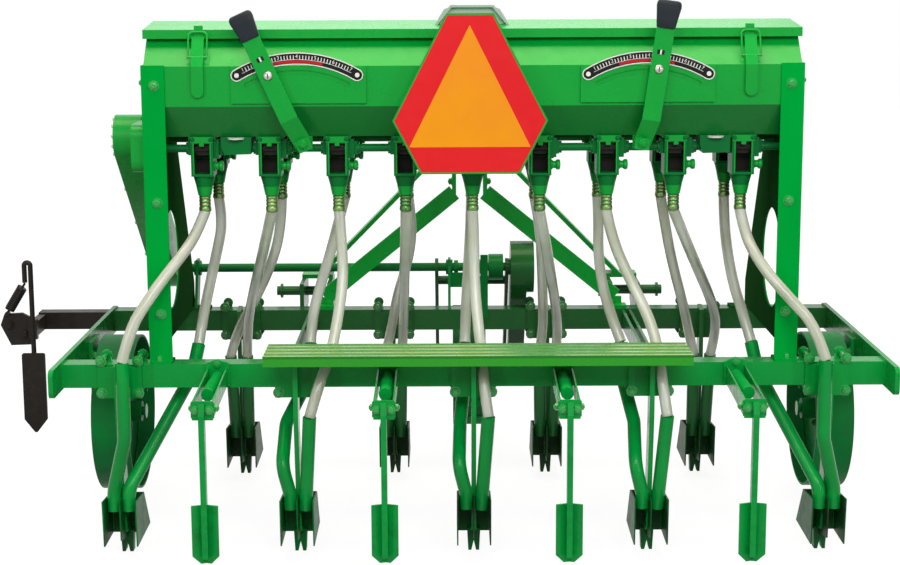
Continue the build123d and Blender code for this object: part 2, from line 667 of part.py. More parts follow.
for name, s in (("left_gauge_wheel", -1), ("right_gauge_wheel", 1)):
    with BuildPart() as gauge_wheel:
        x0, x1 = s * wheel_x - wheel_w / 2, s * wheel_x + wheel_w / 2
        rod((x0, wheel_y, wheel_z), (x1, wheel_y, wheel_z), wheel_r)
        rod((x0 - 1, wheel_y, wheel_z), (x1 + 1, wheel_y, wheel_z), wheel_r - 6, Mode.SUBTRACT)
        rod((s * wheel_x - 3, wheel_y, wheel_z), (s * wheel_x + 3, wheel_y, wheel_z), wheel_r - 5)
        rod((x0, wheel_y, wheel_z), (x1, wheel_y, wheel_z), 28)
        rod((x0 - 2, wheel_y, wheel_z), (x1 + 2, wheel_y, wheel_z), axle_r + running, Mode.SUBTRACT)
    keep(gauge_wheel, name)

# ---------------------------------------------------------------- drive line
with BuildPart() as cross_shaft_bearings:
    block(30, 52, front_back - 6, front_back, 470, cross_z + 48)
    block(35, 43, front_back - 2, front_back + 10, bar_top, cross_z + 20)
    block(-64, 2, cross_y - 32, cross_y - 26, cross_z - 55, cross_z - 12)
    for x, foot in ((6 - hopper_half, bar_top + 6), (-64, bar_top), (35, bar_top)):
        plate_x([(front_back + 8, foot), (front_face, foot), (cross_y + 28, cross_z - 6),
                 (cross_y + 20, cross_z + 26), (cross_y - 20, cross_z + 26),
                 (cross_y - 28, cross_z - 6)], x, x + 8)
        rod((x - 6, cross_y, cross_z), (x + 14, cross_y, cross_z), 22)
        rod((x - 7, cross_y, cross_z), (x + 15, cross_y, cross_z), cross_r + running,
            Mode.SUBTRACT)
keep(cross_shaft_bearings, "cross_shaft_bearings")

with BuildPart() as cross_shaft:
    rod((-hopper_half - 86, cross_y, cross_z), (150, cross_y, cross_z), cross_r)
    rod((55, cross_y, cross_z), (98, cross_y, cross_z), 38)
    rod((-46, cross_y, cross_z), (-34, cross_y, cross_z), 20)
keep(cross_shaft, "cross_shaft")

case_x0, case_x1, drum_x1 = 119.0, 166.0, 187.0
pivot, axle = (cross_y, cross_z), (drive_y, drive_z)
with BuildPart() as drive_arm:
    for x in (-102, 104):
        oval_x(pivot, 26, axle, 22, x, x + 10)
        rod((x - 1, *pivot), (x + 11, *pivot), cross_r + running, Mode.SUBTRACT)
        rod((x - 1, *axle), (x + 11, *axle), shaft_r + running, Mode.SUBTRACT)
    reach = 0.17
    tie_y = cross_y + (drive_y - cross_y) * reach + 14
    tie_z = cross_z + (drive_z - cross_z) * reach + 11
    rod((-93, tie_y, tie_z), (105, tie_y, tie_z), 13)
keep(drive_arm, "drive_arm")

with BuildPart() as drive_chain_case:
    oval_x(pivot, 76, axle, 46, case_x0, case_x1)
    rod((case_x0, *pivot), (drum_x1, *pivot), 76)
    oval_x(pivot, 73, axle, 43, case_x0 + 3, case_x1 - 3, mode=Mode.SUBTRACT)
    rod((case_x0 + 3, *pivot), (drum_x1 - 3, *pivot), 73, Mode.SUBTRACT)
    rod((case_x0 - 5, *pivot), (case_x0, *pivot), 24)
    rod((case_x0 - 5, *axle), (case_x0, *axle), 20)
    rod((case_x0 - 6, *pivot), (case_x0 + 4, *pivot), cross_r + running, Mode.SUBTRACT)
    rod((case_x0 - 6, *axle), (case_x0 + 4, *axle), shaft_r + running, Mode.SUBTRACT)
keep(drive_chain_case, "drive_chain_case")

with BuildPart() as drive_wheel:
    half = drive_w / 2
    rod((-half, *axle), (half, *axle), drive_r)
    rod((-half - 1, *axle), (half + 1, *axle), drive_r - 6, Mode.SUBTRACT)
    for k in range(lug_count):
        a = 2 * pi * k / lug_count
        ca, sa = cos(a), sin(a)
        corners = []
        for r, side in ((drive_r - 4, -6), (drive_r + lug, -4), (drive_r + lug, 4), (drive_r - 4, 6)):
            corners.append((drive_y + r * ca - side * sa, drive_z + r * sa + side * ca))
        plate_x(corners, -half, half)
    for k in range(4):
        a = pi / 4 + k * pi / 2
        rod((0, drive_y + 18 * cos(a), drive_z + 18 * sin(a)),
            (0, drive_y + (drive_r - 3) * cos(a), drive_z + (drive_r - 3) * sin(a)), 9)
    rod((-half - 8, *axle), (half + 8, *axle), 26)
    rod((-108, *axle), (case_x0 + 20, *axle), shaft_r)
keep(drive_wheel, "drive_wheel")

chain_top, chain_low = (mid_y, 1045.0), (cross_y, cross_z)
with BuildPart() as main_chain_case:
    inner = -hopper_half - 41
    outer = inner - 70
    oval_x(chain_top, 58, chain_low, 54, outer, inner)
    oval_x(chain_top, 55, chain_low, 51, outer + 3, inner - 3, mode=Mode.SUBTRACT)
    rod((inner - 4, *chain_low), (inner + 1, *chain_low), cross_r + 6, Mode.SUBTRACT)
    case = [(cup_rear_y - 60, 972), (cup_rear_y - 60, 1092), (cup_front_y + 60, 1092),
            (cup_front_y + 60, 972)]
    shell = [(cup_rear_y - 57, 975), (cup_rear_y - 57, 1089), (cup_front_y + 57, 1089),
             (cup_front_y + 57, 975)]
    plate_x(case, inner, -hopper_half - 6, round_to=30)
    plate_x(shell, inner + 3, -hopper_half - 5, round_to=27, mode=Mode.SUBTRACT)
keep(main_chain_case, "main_chain_case")


# ---------------------------------------------------------------- seed and fertiliser hoses
# columns: name, then the route from the cup's spout to the tube's mouth
hoses = (
    ("rear_hose_1", [(-676.8, 100, 869), (-697, 66, 812), (-730, 12, 765),
                    (-770, -20, 715), (-809, -46, 660), (-847, -68, 600), (-868, -85, 517)]),
    ("rear_hose_2", [(-508, 100, 869), (-534, 163, 775), (-569, 292, 673),
                    (-605, 445, 569), (-633, 576, 468), (-642, 644, 375)]),
    ("rear_hose_3", [(-338, 100, 869), (-333, 95, 794), (-328, 74, 697),
                    (-342, 30, 598), (-358, -8.5, 516), (-384, -62, 458), (-408, -80, 375)]),
    ("rear_hose_4", [(-169, 100, 869), (-172, 163, 776), (-179, 292, 674),
                    (-185, 445, 569), (-190, 576, 467), (-198, 644, 375)]),
    ("rear_hose_5", [(0, 100, 869), (3, 95, 794), (3, 70, 697),
                    (11, 30, 598), (21.5, -8.5, 516), (24, -62, 458), (36, -80, 375)]),
    ("rear_hose_6", [(169, 100, 869), (189, 163, 776), (209, 292, 674),
                    (231, 445, 569), (247, 576, 467), (246, 644, 375)]),
    ("rear_hose_7", [(338, 100, 869), (353, 95, 794), (396, 70, 697),
                    (446, 30, 598), (465.5, -8.5, 516), (468, -62, 458), (480, -80, 375)]),
    ("rear_hose_8", [(508, 100, 869), (551, 163, 775), (605, 292, 673),
                    (661, 445, 569), (699, 576, 468), (690, 644, 375)]),
    ("rear_hose_9", [(676.8, 100, 869), (685, 66, 812), (703, 12, 765),
                    (737, -20, 715), (786, -46, 660), (842, -68, 600), (868, -85, 517)]),
    ("front_hose_1", [(-677, 370, 869), (-664, 344, 808), (-676, 292, 732),
                    (-690, 230, 651), (-702, 177, 576), (-710, 150, 515)]),
    ("front_hose_2", [(-508, 370, 869), (-515, 404, 773), (-552, 469, 665),
                    (-606, 543, 557), (-666, 608, 457), (-690, 644, 375)]),
    ("front_hose_3", [(-338, 370, 869), (-355, 344, 808), (-374, 292, 732),
                    (-399, 230, 651), (-418, 177, 576), (-420, 150, 515)]),
    ("front_hose_4", [(-169, 370, 869), (-158, 403, 785), (-173, 467, 678),
                    (-208, 542, 564), (-225, 607, 458), (-246, 644, 375)]),
    ("front_hose_5", [(0, 370, 869), (-2, 344, 808), (-7, 292, 732),
                    (-13, 230, 651), (-18, 177, 575), (-20, 150, 515)]),
    ("front_hose_6", [(169, 370, 869), (186, 403, 785), (195, 467, 678),
                    (202, 542, 564), (207, 607, 458), (198, 644, 375)]),
    ("front_hose_7", [(338, 370, 869), (340, 344, 808), (335, 292, 732),
                    (341, 230, 651), (362, 177, 576), (385, 150, 515)]),
    ("front_hose_8", [(508, 370, 869), (527, 404, 773), (556, 469, 665),
                    (592, 543, 557), (621, 608, 457), (642, 644, 375)]),
    ("front_hose_9", [(677, 370, 869), (675, 344, 808), (677, 292, 732),
                    (686, 230, 651), (707, 177, 576), (722, 150, 515)]),
)
cords = []
for name, route in hoses:
    radii = bend_radii(route)
    with BuildPart() as hose:
        length = bent(route, hose_r, radii)
    print(name, "length", round(length, 1), "radii", [round(r) for r in radii],
          "volume ratio", round(hose.part.volume / (pi * hose_r ** 2 * length), 4))
    hose.part.label = name
    cords.append((name, hose.part))

# ---------------------------------------------------------------- write the pieces
boxes = [part.bounding_box() for _, part in pieces]
home = Vector(-(min(b.min.X for b in boxes) + max(b.max.X for b in boxes)) / 2,
              -(min(b.min.Y for b in boxes) + max(b.max.Y for b in boxes)) / 2,
              -min(b.min.Z for b in boxes))
print("shift", [round(v, 3) for v in home])
print("size", [round(max(getattr(b.max, k) for b in boxes) - min(getattr(b.min, k) for b in boxes), 1)
               for k in "XYZ"])
for name, part in pieces + cords:
    placed = part.moved(Location(home))
    placed.label = name
    export_step(placed, f"parts/{name}.step")
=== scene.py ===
"""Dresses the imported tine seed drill: paint, hoses, springs, fasteners, welds, scales and plate."""

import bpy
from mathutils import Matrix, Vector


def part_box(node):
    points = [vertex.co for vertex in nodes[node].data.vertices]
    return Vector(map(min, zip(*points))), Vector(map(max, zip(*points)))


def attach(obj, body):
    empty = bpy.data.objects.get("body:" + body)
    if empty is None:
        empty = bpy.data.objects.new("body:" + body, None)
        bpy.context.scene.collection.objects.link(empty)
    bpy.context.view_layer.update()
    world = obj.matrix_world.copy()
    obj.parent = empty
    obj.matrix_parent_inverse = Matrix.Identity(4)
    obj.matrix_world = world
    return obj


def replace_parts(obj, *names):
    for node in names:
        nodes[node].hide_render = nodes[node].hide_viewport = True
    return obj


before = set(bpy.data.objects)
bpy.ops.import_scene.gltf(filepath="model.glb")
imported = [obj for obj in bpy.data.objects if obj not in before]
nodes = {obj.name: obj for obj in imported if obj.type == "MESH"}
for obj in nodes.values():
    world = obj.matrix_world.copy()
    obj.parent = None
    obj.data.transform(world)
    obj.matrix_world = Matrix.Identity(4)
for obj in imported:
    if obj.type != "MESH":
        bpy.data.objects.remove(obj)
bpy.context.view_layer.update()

from math import atan2, cos, pi, radians, sin, tan

import bmesh
import bpy
from mathutils import Matrix, Vector

scene = bpy.context.scene
scene.view_settings.view_transform = "Standard"

# Places are metres from the centre line, the rear face of the rear bar, and the ground.
bar_low, bar_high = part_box("rear_bar")
CENTRE = (bar_low.x + bar_high.x) / 2
REAR = bar_low.y
BAR_BOTTOM, BAR_TOP, BAR = bar_low.z, bar_high.z, bar_high.y - bar_low.y
BARS_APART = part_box("front_bar")[0].y - REAR
LEFT, RIGHT, BACKWARD, FORWARD, DOWN, UP = ((-1, 0, 0), (1, 0, 0), (0, -1, 0), (0, 1, 0),
                                            (0, 0, -1), (0, 0, 1))
SIDES = (-1, 1)


def spot(x, y, z):
    return Vector((CENTRE + x, REAR + y, z))


# ------------------------------------------------------------------ camera
LENS, SENSOR = 71.61, 36
PITCH, ROLL = radians(9.89), radians(-0.246)
CAMERA_AT = spot(-0.058, -4.3987, 1.4667)
eye = bpy.data.cameras.new("camera")
eye.lens = LENS
eye.sensor_width = SENSOR
eye.clip_end = 60
camera = bpy.data.objects.new("camera", eye)
scene.collection.objects.link(camera)
camera.matrix_world = (Matrix.Translation(CAMERA_AT) @ Matrix.Rotation(pi / 2 - PITCH, 4, "X")
                       @ Matrix.Rotation(ROLL, 4, "Z"))
scene.camera = camera


# ------------------------------------------------------------------ node helpers
FLOAT, COLOUR, GEOMETRY = "NodeSocketFloat", "NodeSocketColor", "NodeSocketGeometry"
WHITE = (1, 1, 1, 1)


def new_tree(name, kind, ins, outs):
    """Node group with its input and output sockets."""
    tree = bpy.data.node_groups.new(name, kind)
    for way, sockets in (("INPUT", ins), ("OUTPUT", outs)):
        for label, socket in sockets.items():
            tree.interface.new_socket(label, in_out=way, socket_type=socket)
    return tree


def add(tree, kind, values=(), **settings):
    """New node; an input takes a plain value or another node's output."""
    node = tree.nodes.new(kind)
    for key, value in settings.items():
        setattr(node, key, value)
    for key, value in dict(values).items():
        if isinstance(value, bpy.types.NodeSocket):
            tree.links.new(value, node.inputs[key])
        else:
            node.inputs[key].default_value = value
    return node


def calc(tree, operation, *values, **settings):
    """Result of one sum on plain values and other outputs."""
    return add(tree, "ShaderNodeMath", enumerate(values), operation=operation, **settings).outputs[0]


def spread(tree, value, low, high, to_low=0.0, to_high=1.0):
    """Goes from to_low to to_high as value goes from low to high, and holds there outside."""
    return add(tree, "ShaderNodeMapRange", {"Value": value, "From Min": low, "From Max": high,
                                            "To Min": to_low, "To Max": to_high}).outputs["Result"]


def blend(tree, share, first, second):
    """Colour between first and second."""
    return add(tree, "ShaderNodeMix", {"Factor": share, 6: first, 7: second},
               data_type="RGBA").outputs[2]


def noise(tree, place, scale, detail, rough=0.5):
    return add(tree, "ShaderNodeTexNoise", {"Vector": place, "Scale": scale, "Detail": detail,
                                            "Roughness": rough}).outputs["Fac"]


def own_place(tree):
    return add(tree, "ShaderNodeTexCoord").outputs["Object"]


def parts_of(tree, vector):
    """The X, Y and Z outputs of a vector."""
    return add(tree, "ShaderNodeSeparateXYZ", {"Vector": vector}).outputs


# ------------------------------------------------------------------ finishes
DRIFT_SCALE, PATCH_SCALE, PEEL_SCALE = 5.0, 38.0, 420.0
DUST_HEIGHT, DUST_LEFT_ABOVE = 0.6, 0.25  # dust thins out up to this height, to this share


def sprayed_finish():
    """Slow drift of tone, dust specks low down, painted shade (a darker green ahead of a depth and
    within a half width of the centre line), orange peel.
    """
    tree = new_tree("sprayed_finish", "ShaderNodeTree",
                    {"Colour": COLOUR, "Drift Colour": COLOUR, "Drift": FLOAT,
                     "Grime Colour": COLOUR, "Grime": FLOAT, "Gloss": FLOAT, "Peel": FLOAT,
                     "Painted Shade Colour": COLOUR, "Painted Shade": FLOAT, "Painted Shade From": FLOAT, "Painted Shade To": FLOAT,
                     "Painted Shade Half Width": FLOAT},
                    {"Colour": COLOUR, "Roughness": FLOAT, "Height": FLOAT})
    ins = tree.nodes.new("NodeGroupInput").outputs
    place = own_place(tree)
    x, y, z = parts_of(tree, place)
    patches = noise(tree, place, PATCH_SCALE, 5.0, 0.62)
    drift = spread(tree, noise(tree, place, DRIFT_SCALE, 3.0, 0.55), 0.35, 0.7)
    colour = blend(tree, calc(tree, "MULTIPLY", drift, ins["Drift"]), ins["Colour"], ins["Drift Colour"])
    low_down = spread(tree, z, 0.0, DUST_HEIGHT, 1.0, DUST_LEFT_ABOVE)
    dust = calc(tree, "MULTIPLY", spread(tree, patches, 0.5, 0.9), low_down)
    colour = blend(tree, calc(tree, "MULTIPLY", dust, ins["Grime"]), colour, ins["Grime Colour"])
    # Painted shade: the colour turns towards the shade colour ahead of a depth, within a half width of
    # the centre line.
    ahead = spread(tree, y, ins["Painted Shade From"], ins["Painted Shade To"])
    aside = calc(tree, "ABSOLUTE", calc(tree, "SUBTRACT", x, CENTRE))
    where = calc(tree, "MULTIPLY", ahead, calc(tree, "LESS_THAN", aside, ins["Painted Shade Half Width"]))
    colour = blend(tree, calc(tree, "MULTIPLY", where, ins["Painted Shade"]), colour, ins["Painted Shade Colour"])
    rough = calc(tree, "ADD", calc(tree, "MULTIPLY", patches, 0.35), ins["Gloss"])
    peel = calc(tree, "MULTIPLY", noise(tree, place, PEEL_SCALE, 2.0), ins["Peel"])
    add(tree, "NodeGroupOutput", {"Colour": colour, "Height": peel,
                                  "Roughness": calc(tree, "SUBTRACT", rough, 0.17, use_clamp=True)})
    return tree


def linear(r, g, b):
    """Linear colour from the tone as seen, 0 to 255."""
    def one(v):
        v /= 255
        return v / 12.92 if v <= 0.04045 else ((v + 0.055) / 1.055) ** 2.4
    return (one(r), one(g), one(b), 1)


def new_material(name):
    """Material with its tree and its shader."""
    mat = bpy.data.materials.new(name)
    mat.use_nodes = True
    return mat, mat.node_tree, mat.node_tree.nodes["Principled BSDF"]


SPRAYED = sprayed_finish()
# Dust colour, and the dark green that is painted as shade.
DUST, PAINTED_SHADE_GREEN = (0.045, 0.04, 0.03, 1), (0.022, 0.045, 0.02, 1)
PEEL_DEPTH = 0.0004


def finish(name, colour, drift_colour, drift=0.3, grime=0.2, gloss=0.3, peel=0.4, metallic=0.0,
           grime_colour=DUST, shine=0.1, painted_shade=0.0, painted_shade_y=(0.3, 0.72), painted_shade_half_width=9.0):
    """Principled material fed by the sprayed finish, with painted shade where painted_shade is above 0.
    """
    mat, tree, shader = new_material(name)
    coat = add(tree, "ShaderNodeGroup", {
        "Colour": linear(*colour), "Drift Colour": linear(*drift_colour), "Drift": drift,
        "Grime Colour": grime_colour, "Grime": grime, "Gloss": gloss, "Peel": peel,
        "Painted Shade Colour": PAINTED_SHADE_GREEN, "Painted Shade": painted_shade, "Painted Shade From": REAR + painted_shade_y[0],
        "Painted Shade To": REAR + painted_shade_y[1], "Painted Shade Half Width": painted_shade_half_width}, node_tree=SPRAYED).outputs
    bump = add(tree, "ShaderNodeBump", {"Strength": 0.25, "Distance": PEEL_DEPTH,
                                        "Height": coat["Height"]})
    for label, output in (("Base Color", coat["Colour"]), ("Roughness", coat["Roughness"]),
                          ("Normal", bump.outputs["Normal"])):
        tree.links.new(output, shader.inputs[label])
    for label, value in (("Metallic", metallic), ("IOR", 1.5), ("Specular IOR Level", shine)):
        shader.inputs[label].default_value = value
    mat.diffuse_color = linear(*colour)
    return mat


def paint_of(mat):
    """A material's tree, its paint so far, and the shader input that the paint goes into."""
    into = mat.node_tree.nodes["Principled BSDF"].inputs["Base Color"]
    return mat.node_tree, into.links[0].from_socket, into


# heights on the step board where the crests start and end, the feet of the ribs, the flat sheet
RIB_CREST, RIB_FOOT, BOARD_TOP = (0.5455, 0.5478), (0.5427, 0.5452), 0.5415


def board_material():
    """Pressed sheet: a painted highlight on the rib crests, painted shade in the valleys and on the rib
    flanks that face the rear, on a yellower green that paints in the warm light from above.
    """
    # The yellower green is the frame's green with the warm light from above painted in.
    mat = finish("board_green", (32, 152, 22), (48, 160, 26), gloss=0.26, shine=0.3, grime=0.05,
                 peel=0.05)
    tree, paint, into = paint_of(mat)
    place = own_place(tree)
    z = parts_of(tree, place)["Z"]
    # Painted highlight: pale yellow-green on the rib crests, in streaks.
    painted_crest_highlight = calc(tree, "MULTIPLY", spread(tree, z, *RIB_CREST),
                 spread(tree, noise(tree, place, 3.0, 3.0), 0.42, 0.6))
    paint = blend(tree, calc(tree, "MULTIPLY", painted_crest_highlight, 0.5), paint, linear(200, 228, 130))
    on_top = calc(tree, "GREATER_THAN", z, BOARD_TOP)
    # Painted shade: darker green at the feet of the ribs, on top of the board.
    painted_valley_shade = calc(tree, "MULTIPLY", spread(tree, z, *RIB_FOOT, 0.75, 0.0), on_top)
    paint = blend(tree, painted_valley_shade, paint, linear(24, 118, 34))
    # Painted shade: darker green on the rib flanks that face the rear.
    facing = parts_of(tree, add(tree, "ShaderNodeNewGeometry").outputs["Normal"])["Y"]
    painted_flank_shade = calc(tree, "MULTIPLY", spread(tree, facing, -0.2, -0.6, 0.0, 0.85), on_top)
    tree.links.new(blend(tree, painted_flank_shade, paint, linear(10, 112, 24)), into)
    return mat


def hopper_material():
    """Sprayed sheet, with painted shade: a darker green on the faces of the trough that turn to face
    downwards.
    """
    mat = finish("hopper_green", (4, 160, 54), (2, 140, 48), shine=0.2)
    tree, paint, into = paint_of(mat)
    facing = parts_of(tree, add(tree, "ShaderNodeNewGeometry").outputs["Normal"])["Z"]
    # Painted shade: faces turned downwards go to a darker green.
    painted_underside_shade = spread(tree, facing, -0.15, -0.5, 0.0, 0.62)
    tree.links.new(blend(tree, painted_underside_shade, paint, linear(20, 84, 40)), into)
    return mat


def hose_material():
    """Clear vinyl gone milky, a little yellow where seed dust lies in it."""
    mat, tree, shader = new_material("hose_vinyl")
    cloud = spread(tree, noise(tree, own_place(tree), 7.0, 2.0), 0.35, 0.65)
    tree.links.new(blend(tree, cloud, linear(232, 234, 222), linear(204, 208, 186)),
                   shader.inputs["Base Color"])
    for label, value in (("Roughness", 0.16), ("IOR", 1.45), ("Transmission Weight", 0.35)):
        shader.inputs[label].default_value = value
    mat.diffuse_color = linear(206, 208, 196)
    return mat


green = finish("drill_green", (4, 160, 54), (2, 140, 48), shine=0.2)
hopper_green = hopper_material()
board_green = board_material()
# Painted shade: the inner faces of the side plates, within 0.812 of the centre line and from 0.024 to
# 0.06 ahead of the rear face, turn dark green.
plate_green = finish("side_plate_green", (2, 166, 60), (2, 146, 54), gloss=0.5, shine=0.0,
                     painted_shade=0.85, painted_shade_y=(0.024, 0.06), painted_shade_half_width=0.812)
# Painted shade: darker green from 0.3 to 0.72 ahead of the rear face.
deep_green = finish("frame_green", (4, 156, 62), (4, 134, 56), gloss=0.24, grime=0.15, painted_shade=0.72,
                    shine=0.13)
cup_green = finish("cup_green", (6, 122, 52), (12, 84, 44), gloss=0.36, grime=0.35, drift=0.6)
# Painted shade: darker green from 0.3 to 0.72 ahead of the rear face.
soil_green = finish("opener_green", (4, 162, 66), (6, 126, 54), gloss=0.17, drift=0.5, painted_shade=0.75,
                    shine=0.15)
# Painted shade: darker green from 0.3 to 0.72 ahead of the rear face.
boot_green = finish("boot_green", (10, 118, 50), (40, 50, 36), gloss=0.42, grime=0.6, drift=1.0,
                    painted_shade=0.7)
# Dark green patches laid thick low down, darkening the shovels towards the ground.
shovel_green = finish("shovel_green", (8, 160, 66), (10, 128, 56), gloss=0.24, grime=1.0,
                      drift=0.5, shine=0.15, grime_colour=linear(24, 72, 40))
# A paler green with paler patches, a painted highlight on the nut heads; painted shade from 0.3 to 0.72
# ahead of the rear face.
nut_green = finish("nut_green", (20, 158, 66), (60, 168, 80), gloss=0.22, shine=0.5, drift=0.6,
                   painted_shade=0.6)
wheel_green = finish("wheel_green", (12, 134, 60), (26, 84, 48), gloss=0.45, grime=0.7, drift=0.7)
black_paint = finish("marker_black", (42, 37, 34), (30, 27, 25), gloss=0.36, grime=0.4,
                     grime_colour=(0.11, 0.09, 0.07, 1))
bright_steel = finish("plated_steel", (176, 176, 166), (140, 142, 136), gloss=0.32, metallic=1.0,
                      grime=0.4, drift=0.4)
olive_steel = finish("spigot_plating", (122, 150, 92), (52, 108, 54), gloss=0.34, metallic=0.7,
                     grime=0.3, drift=0.9)
dark_steel = finish("oiled_steel", (86, 88, 84), (58, 58, 54), gloss=0.4, metallic=0.9, grime=0.6,
                    drift=0.5)
grip_rubber = finish("grip_black", (46, 52, 58), (30, 34, 38), gloss=0.42, drift=0.8, grime=0.1,
                     peel=0.8)
handle_grey = finish("handle_grey", (176, 186, 180), (140, 152, 146), gloss=0.4, peel=0.7)
roller_black = finish("roller_plastic", (42, 38, 34), (24, 24, 22), gloss=0.42, peel=0.6)
orange_film = finish("reflective_orange", (245, 158, 16), (240, 142, 34), gloss=0.4, drift=0.9,
                     grime=0.05, peel=0.2, shine=0.15)
red_film = finish("reflective_red", (228, 34, 38), (216, 26, 36), gloss=0.4, drift=0.5, grime=0.3,
                  peel=0.2, shine=0.15, grime_colour=linear(236, 90, 90))
scale_black = finish("scale_black", (26, 26, 26), (18, 18, 18), gloss=0.4, grime=0.1)
scale_white = finish("scale_white", (236, 236, 230), (226, 226, 220), gloss=0.4, grime=0.1)
scale_red = finish("scale_red", (196, 38, 42), (178, 34, 38), gloss=0.4, grime=0.1)
hose_clear = hose_material()

FINISH_OF = {
    green: ("hopper_lid", "quadrant_plates", "main_chain_case", "mast_braces", "mast_legs",
            "rate_levers", "lid_hinge_brackets", "lid_latches", "slow_vehicle_plate"),
    hopper_green: ("hopper",),
    plate_green: ("hopper_side_plates",),
    board_green: ("step_board",),
    deep_green: ("rear_bar", "front_bar", "side_members", "inner_longitudinals", "hitch_plates",
                 "top_link_clevis", "tine_clamps", "covering_arms", "covering_springs",
                 "gauge_wheel_brackets", "drive_arm", "drive_chain_case", "lower_link_pins"),
    cup_green: ("rear_feed_shaft", "front_feed_shaft", "feed_cups", "cross_shaft",
                "cross_shaft_bearings"),
    boot_green: ("furrow_openers",),
    soil_green: ("tine_shanks", "seed_tubes"),
    shovel_green: ("covering_tines",),
    wheel_green: ("left_gauge_wheel", "right_gauge_wheel", "drive_wheel"),
    black_paint: ("marker_tube", "marker_tine", "marker_spring"),
    grip_rubber: ("lever_grips",),
    handle_grey: ("lid_handle",),
}
for mat, names in FINISH_OF.items():
    for name in names:
        for slot in nodes[name].material_slots:
            slot.material = mat

# ------------------------------------------------------------------ hoses
HOSE_WIDE = 0.028
# columns: name, real length, then the route from the cup's spout to the tube's mouth
HOSES = (
    ("rear_hose_1", 0.452, [(-0.6768, 0.1, 0.869), (-0.697, 0.066, 0.812), (-0.73, 0.012, 0.765),
        (-0.77, -0.02, 0.715), (-0.809, -0.046, 0.66), (-0.847, -0.068, 0.6),
        (-0.868, -0.085, 0.517)]),
    ("rear_hose_2", 0.754, [(-0.508, 0.1, 0.869), (-0.534, 0.163, 0.775), (-0.569, 0.292, 0.673),
        (-0.605, 0.445, 0.569), (-0.633, 0.576, 0.468), (-0.642, 0.644, 0.375)]),
    ("rear_hose_3", 0.544, [(-0.338, 0.1, 0.869), (-0.333, 0.095, 0.794), (-0.328, 0.074, 0.697),
        (-0.342, 0.03, 0.598), (-0.358, -0.0085, 0.516), (-0.384, -0.062, 0.458),
        (-0.408, -0.08, 0.375)]),
    ("rear_hose_4", 0.742, [(-0.169, 0.1, 0.869), (-0.172, 0.163, 0.776), (-0.179, 0.292, 0.674),
        (-0.185, 0.445, 0.569), (-0.19, 0.576, 0.467), (-0.198, 0.644, 0.375)]),
    ("rear_hose_5", 0.536, [(0, 0.1, 0.869), (0.003, 0.095, 0.794), (0.003, 0.07, 0.697),
        (0.011, 0.03, 0.598), (0.0215, -0.0085, 0.516), (0.024, -0.062, 0.458),
        (0.036, -0.08, 0.375)]),
    ("rear_hose_6", 0.746, [(0.169, 0.1, 0.869), (0.189, 0.163, 0.776), (0.209, 0.292, 0.674),
        (0.231, 0.445, 0.569), (0.247, 0.576, 0.467), (0.246, 0.644, 0.375)]),
    ("rear_hose_7", 0.557, [(0.338, 0.1, 0.869), (0.353, 0.095, 0.794), (0.396, 0.07, 0.697),
        (0.446, 0.03, 0.598), (0.4655, -0.0085, 0.516), (0.468, -0.062, 0.458),
        (0.48, -0.08, 0.375)]),
    ("rear_hose_8", 0.770, [(0.508, 0.1, 0.869), (0.551, 0.163, 0.775), (0.605, 0.292, 0.673),
        (0.661, 0.445, 0.569), (0.699, 0.576, 0.468), (0.69, 0.644, 0.375)]),
    ("rear_hose_9", 0.458, [(0.6768, 0.1, 0.869), (0.685, 0.066, 0.812), (0.703, 0.012, 0.765),
        (0.737, -0.02, 0.715), (0.786, -0.046, 0.66), (0.842, -0.068, 0.6),
        (0.868, -0.085, 0.517)]),
    ("front_hose_1", 0.422, [(-0.677, 0.37, 0.869), (-0.664, 0.344, 0.808),
        (-0.676, 0.292, 0.732), (-0.69, 0.23, 0.651), (-0.702, 0.177, 0.576),
        (-0.71, 0.15, 0.515)]),
    ("front_hose_2", 0.600, [(-0.508, 0.37, 0.869), (-0.515, 0.404, 0.773),
        (-0.552, 0.469, 0.665), (-0.606, 0.543, 0.557), (-0.666, 0.608, 0.457),
        (-0.69, 0.644, 0.375)]),
    ("front_hose_3", 0.427, [(-0.338, 0.37, 0.869), (-0.355, 0.344, 0.808),
        (-0.374, 0.292, 0.732), (-0.399, 0.23, 0.651), (-0.418, 0.177, 0.576),
        (-0.42, 0.15, 0.515)]),
    ("front_hose_4", 0.575, [(-0.169, 0.37, 0.869), (-0.158, 0.403, 0.785),
        (-0.173, 0.467, 0.678), (-0.208, 0.542, 0.564), (-0.225, 0.607, 0.458),
        (-0.246, 0.644, 0.375)]),
    ("front_hose_5", 0.419, [(0, 0.37, 0.869), (-0.002, 0.344, 0.808), (-0.007, 0.292, 0.732),
        (-0.013, 0.23, 0.651), (-0.018, 0.177, 0.575), (-0.02, 0.15, 0.515)]),
    ("front_hose_6", 0.569, [(0.169, 0.37, 0.869), (0.186, 0.403, 0.785), (0.195, 0.467, 0.678),
        (0.202, 0.542, 0.564), (0.207, 0.607, 0.458), (0.198, 0.644, 0.375)]),
    ("front_hose_7", 0.425, [(0.338, 0.37, 0.869), (0.34, 0.344, 0.808), (0.335, 0.292, 0.732),
        (0.341, 0.23, 0.651), (0.362, 0.177, 0.576), (0.385, 0.15, 0.515)]),
    ("front_hose_8", 0.583, [(0.508, 0.37, 0.869), (0.527, 0.404, 0.773), (0.556, 0.469, 0.665),
        (0.592, 0.543, 0.557), (0.621, 0.608, 0.457), (0.642, 0.644, 0.375)]),
    ("front_hose_9", 0.423, [(0.677, 0.37, 0.869), (0.675, 0.344, 0.808), (0.677, 0.292, 0.732),
        (0.686, 0.23, 0.651), (0.707, 0.177, 0.576), (0.722, 0.15, 0.515)]),
)
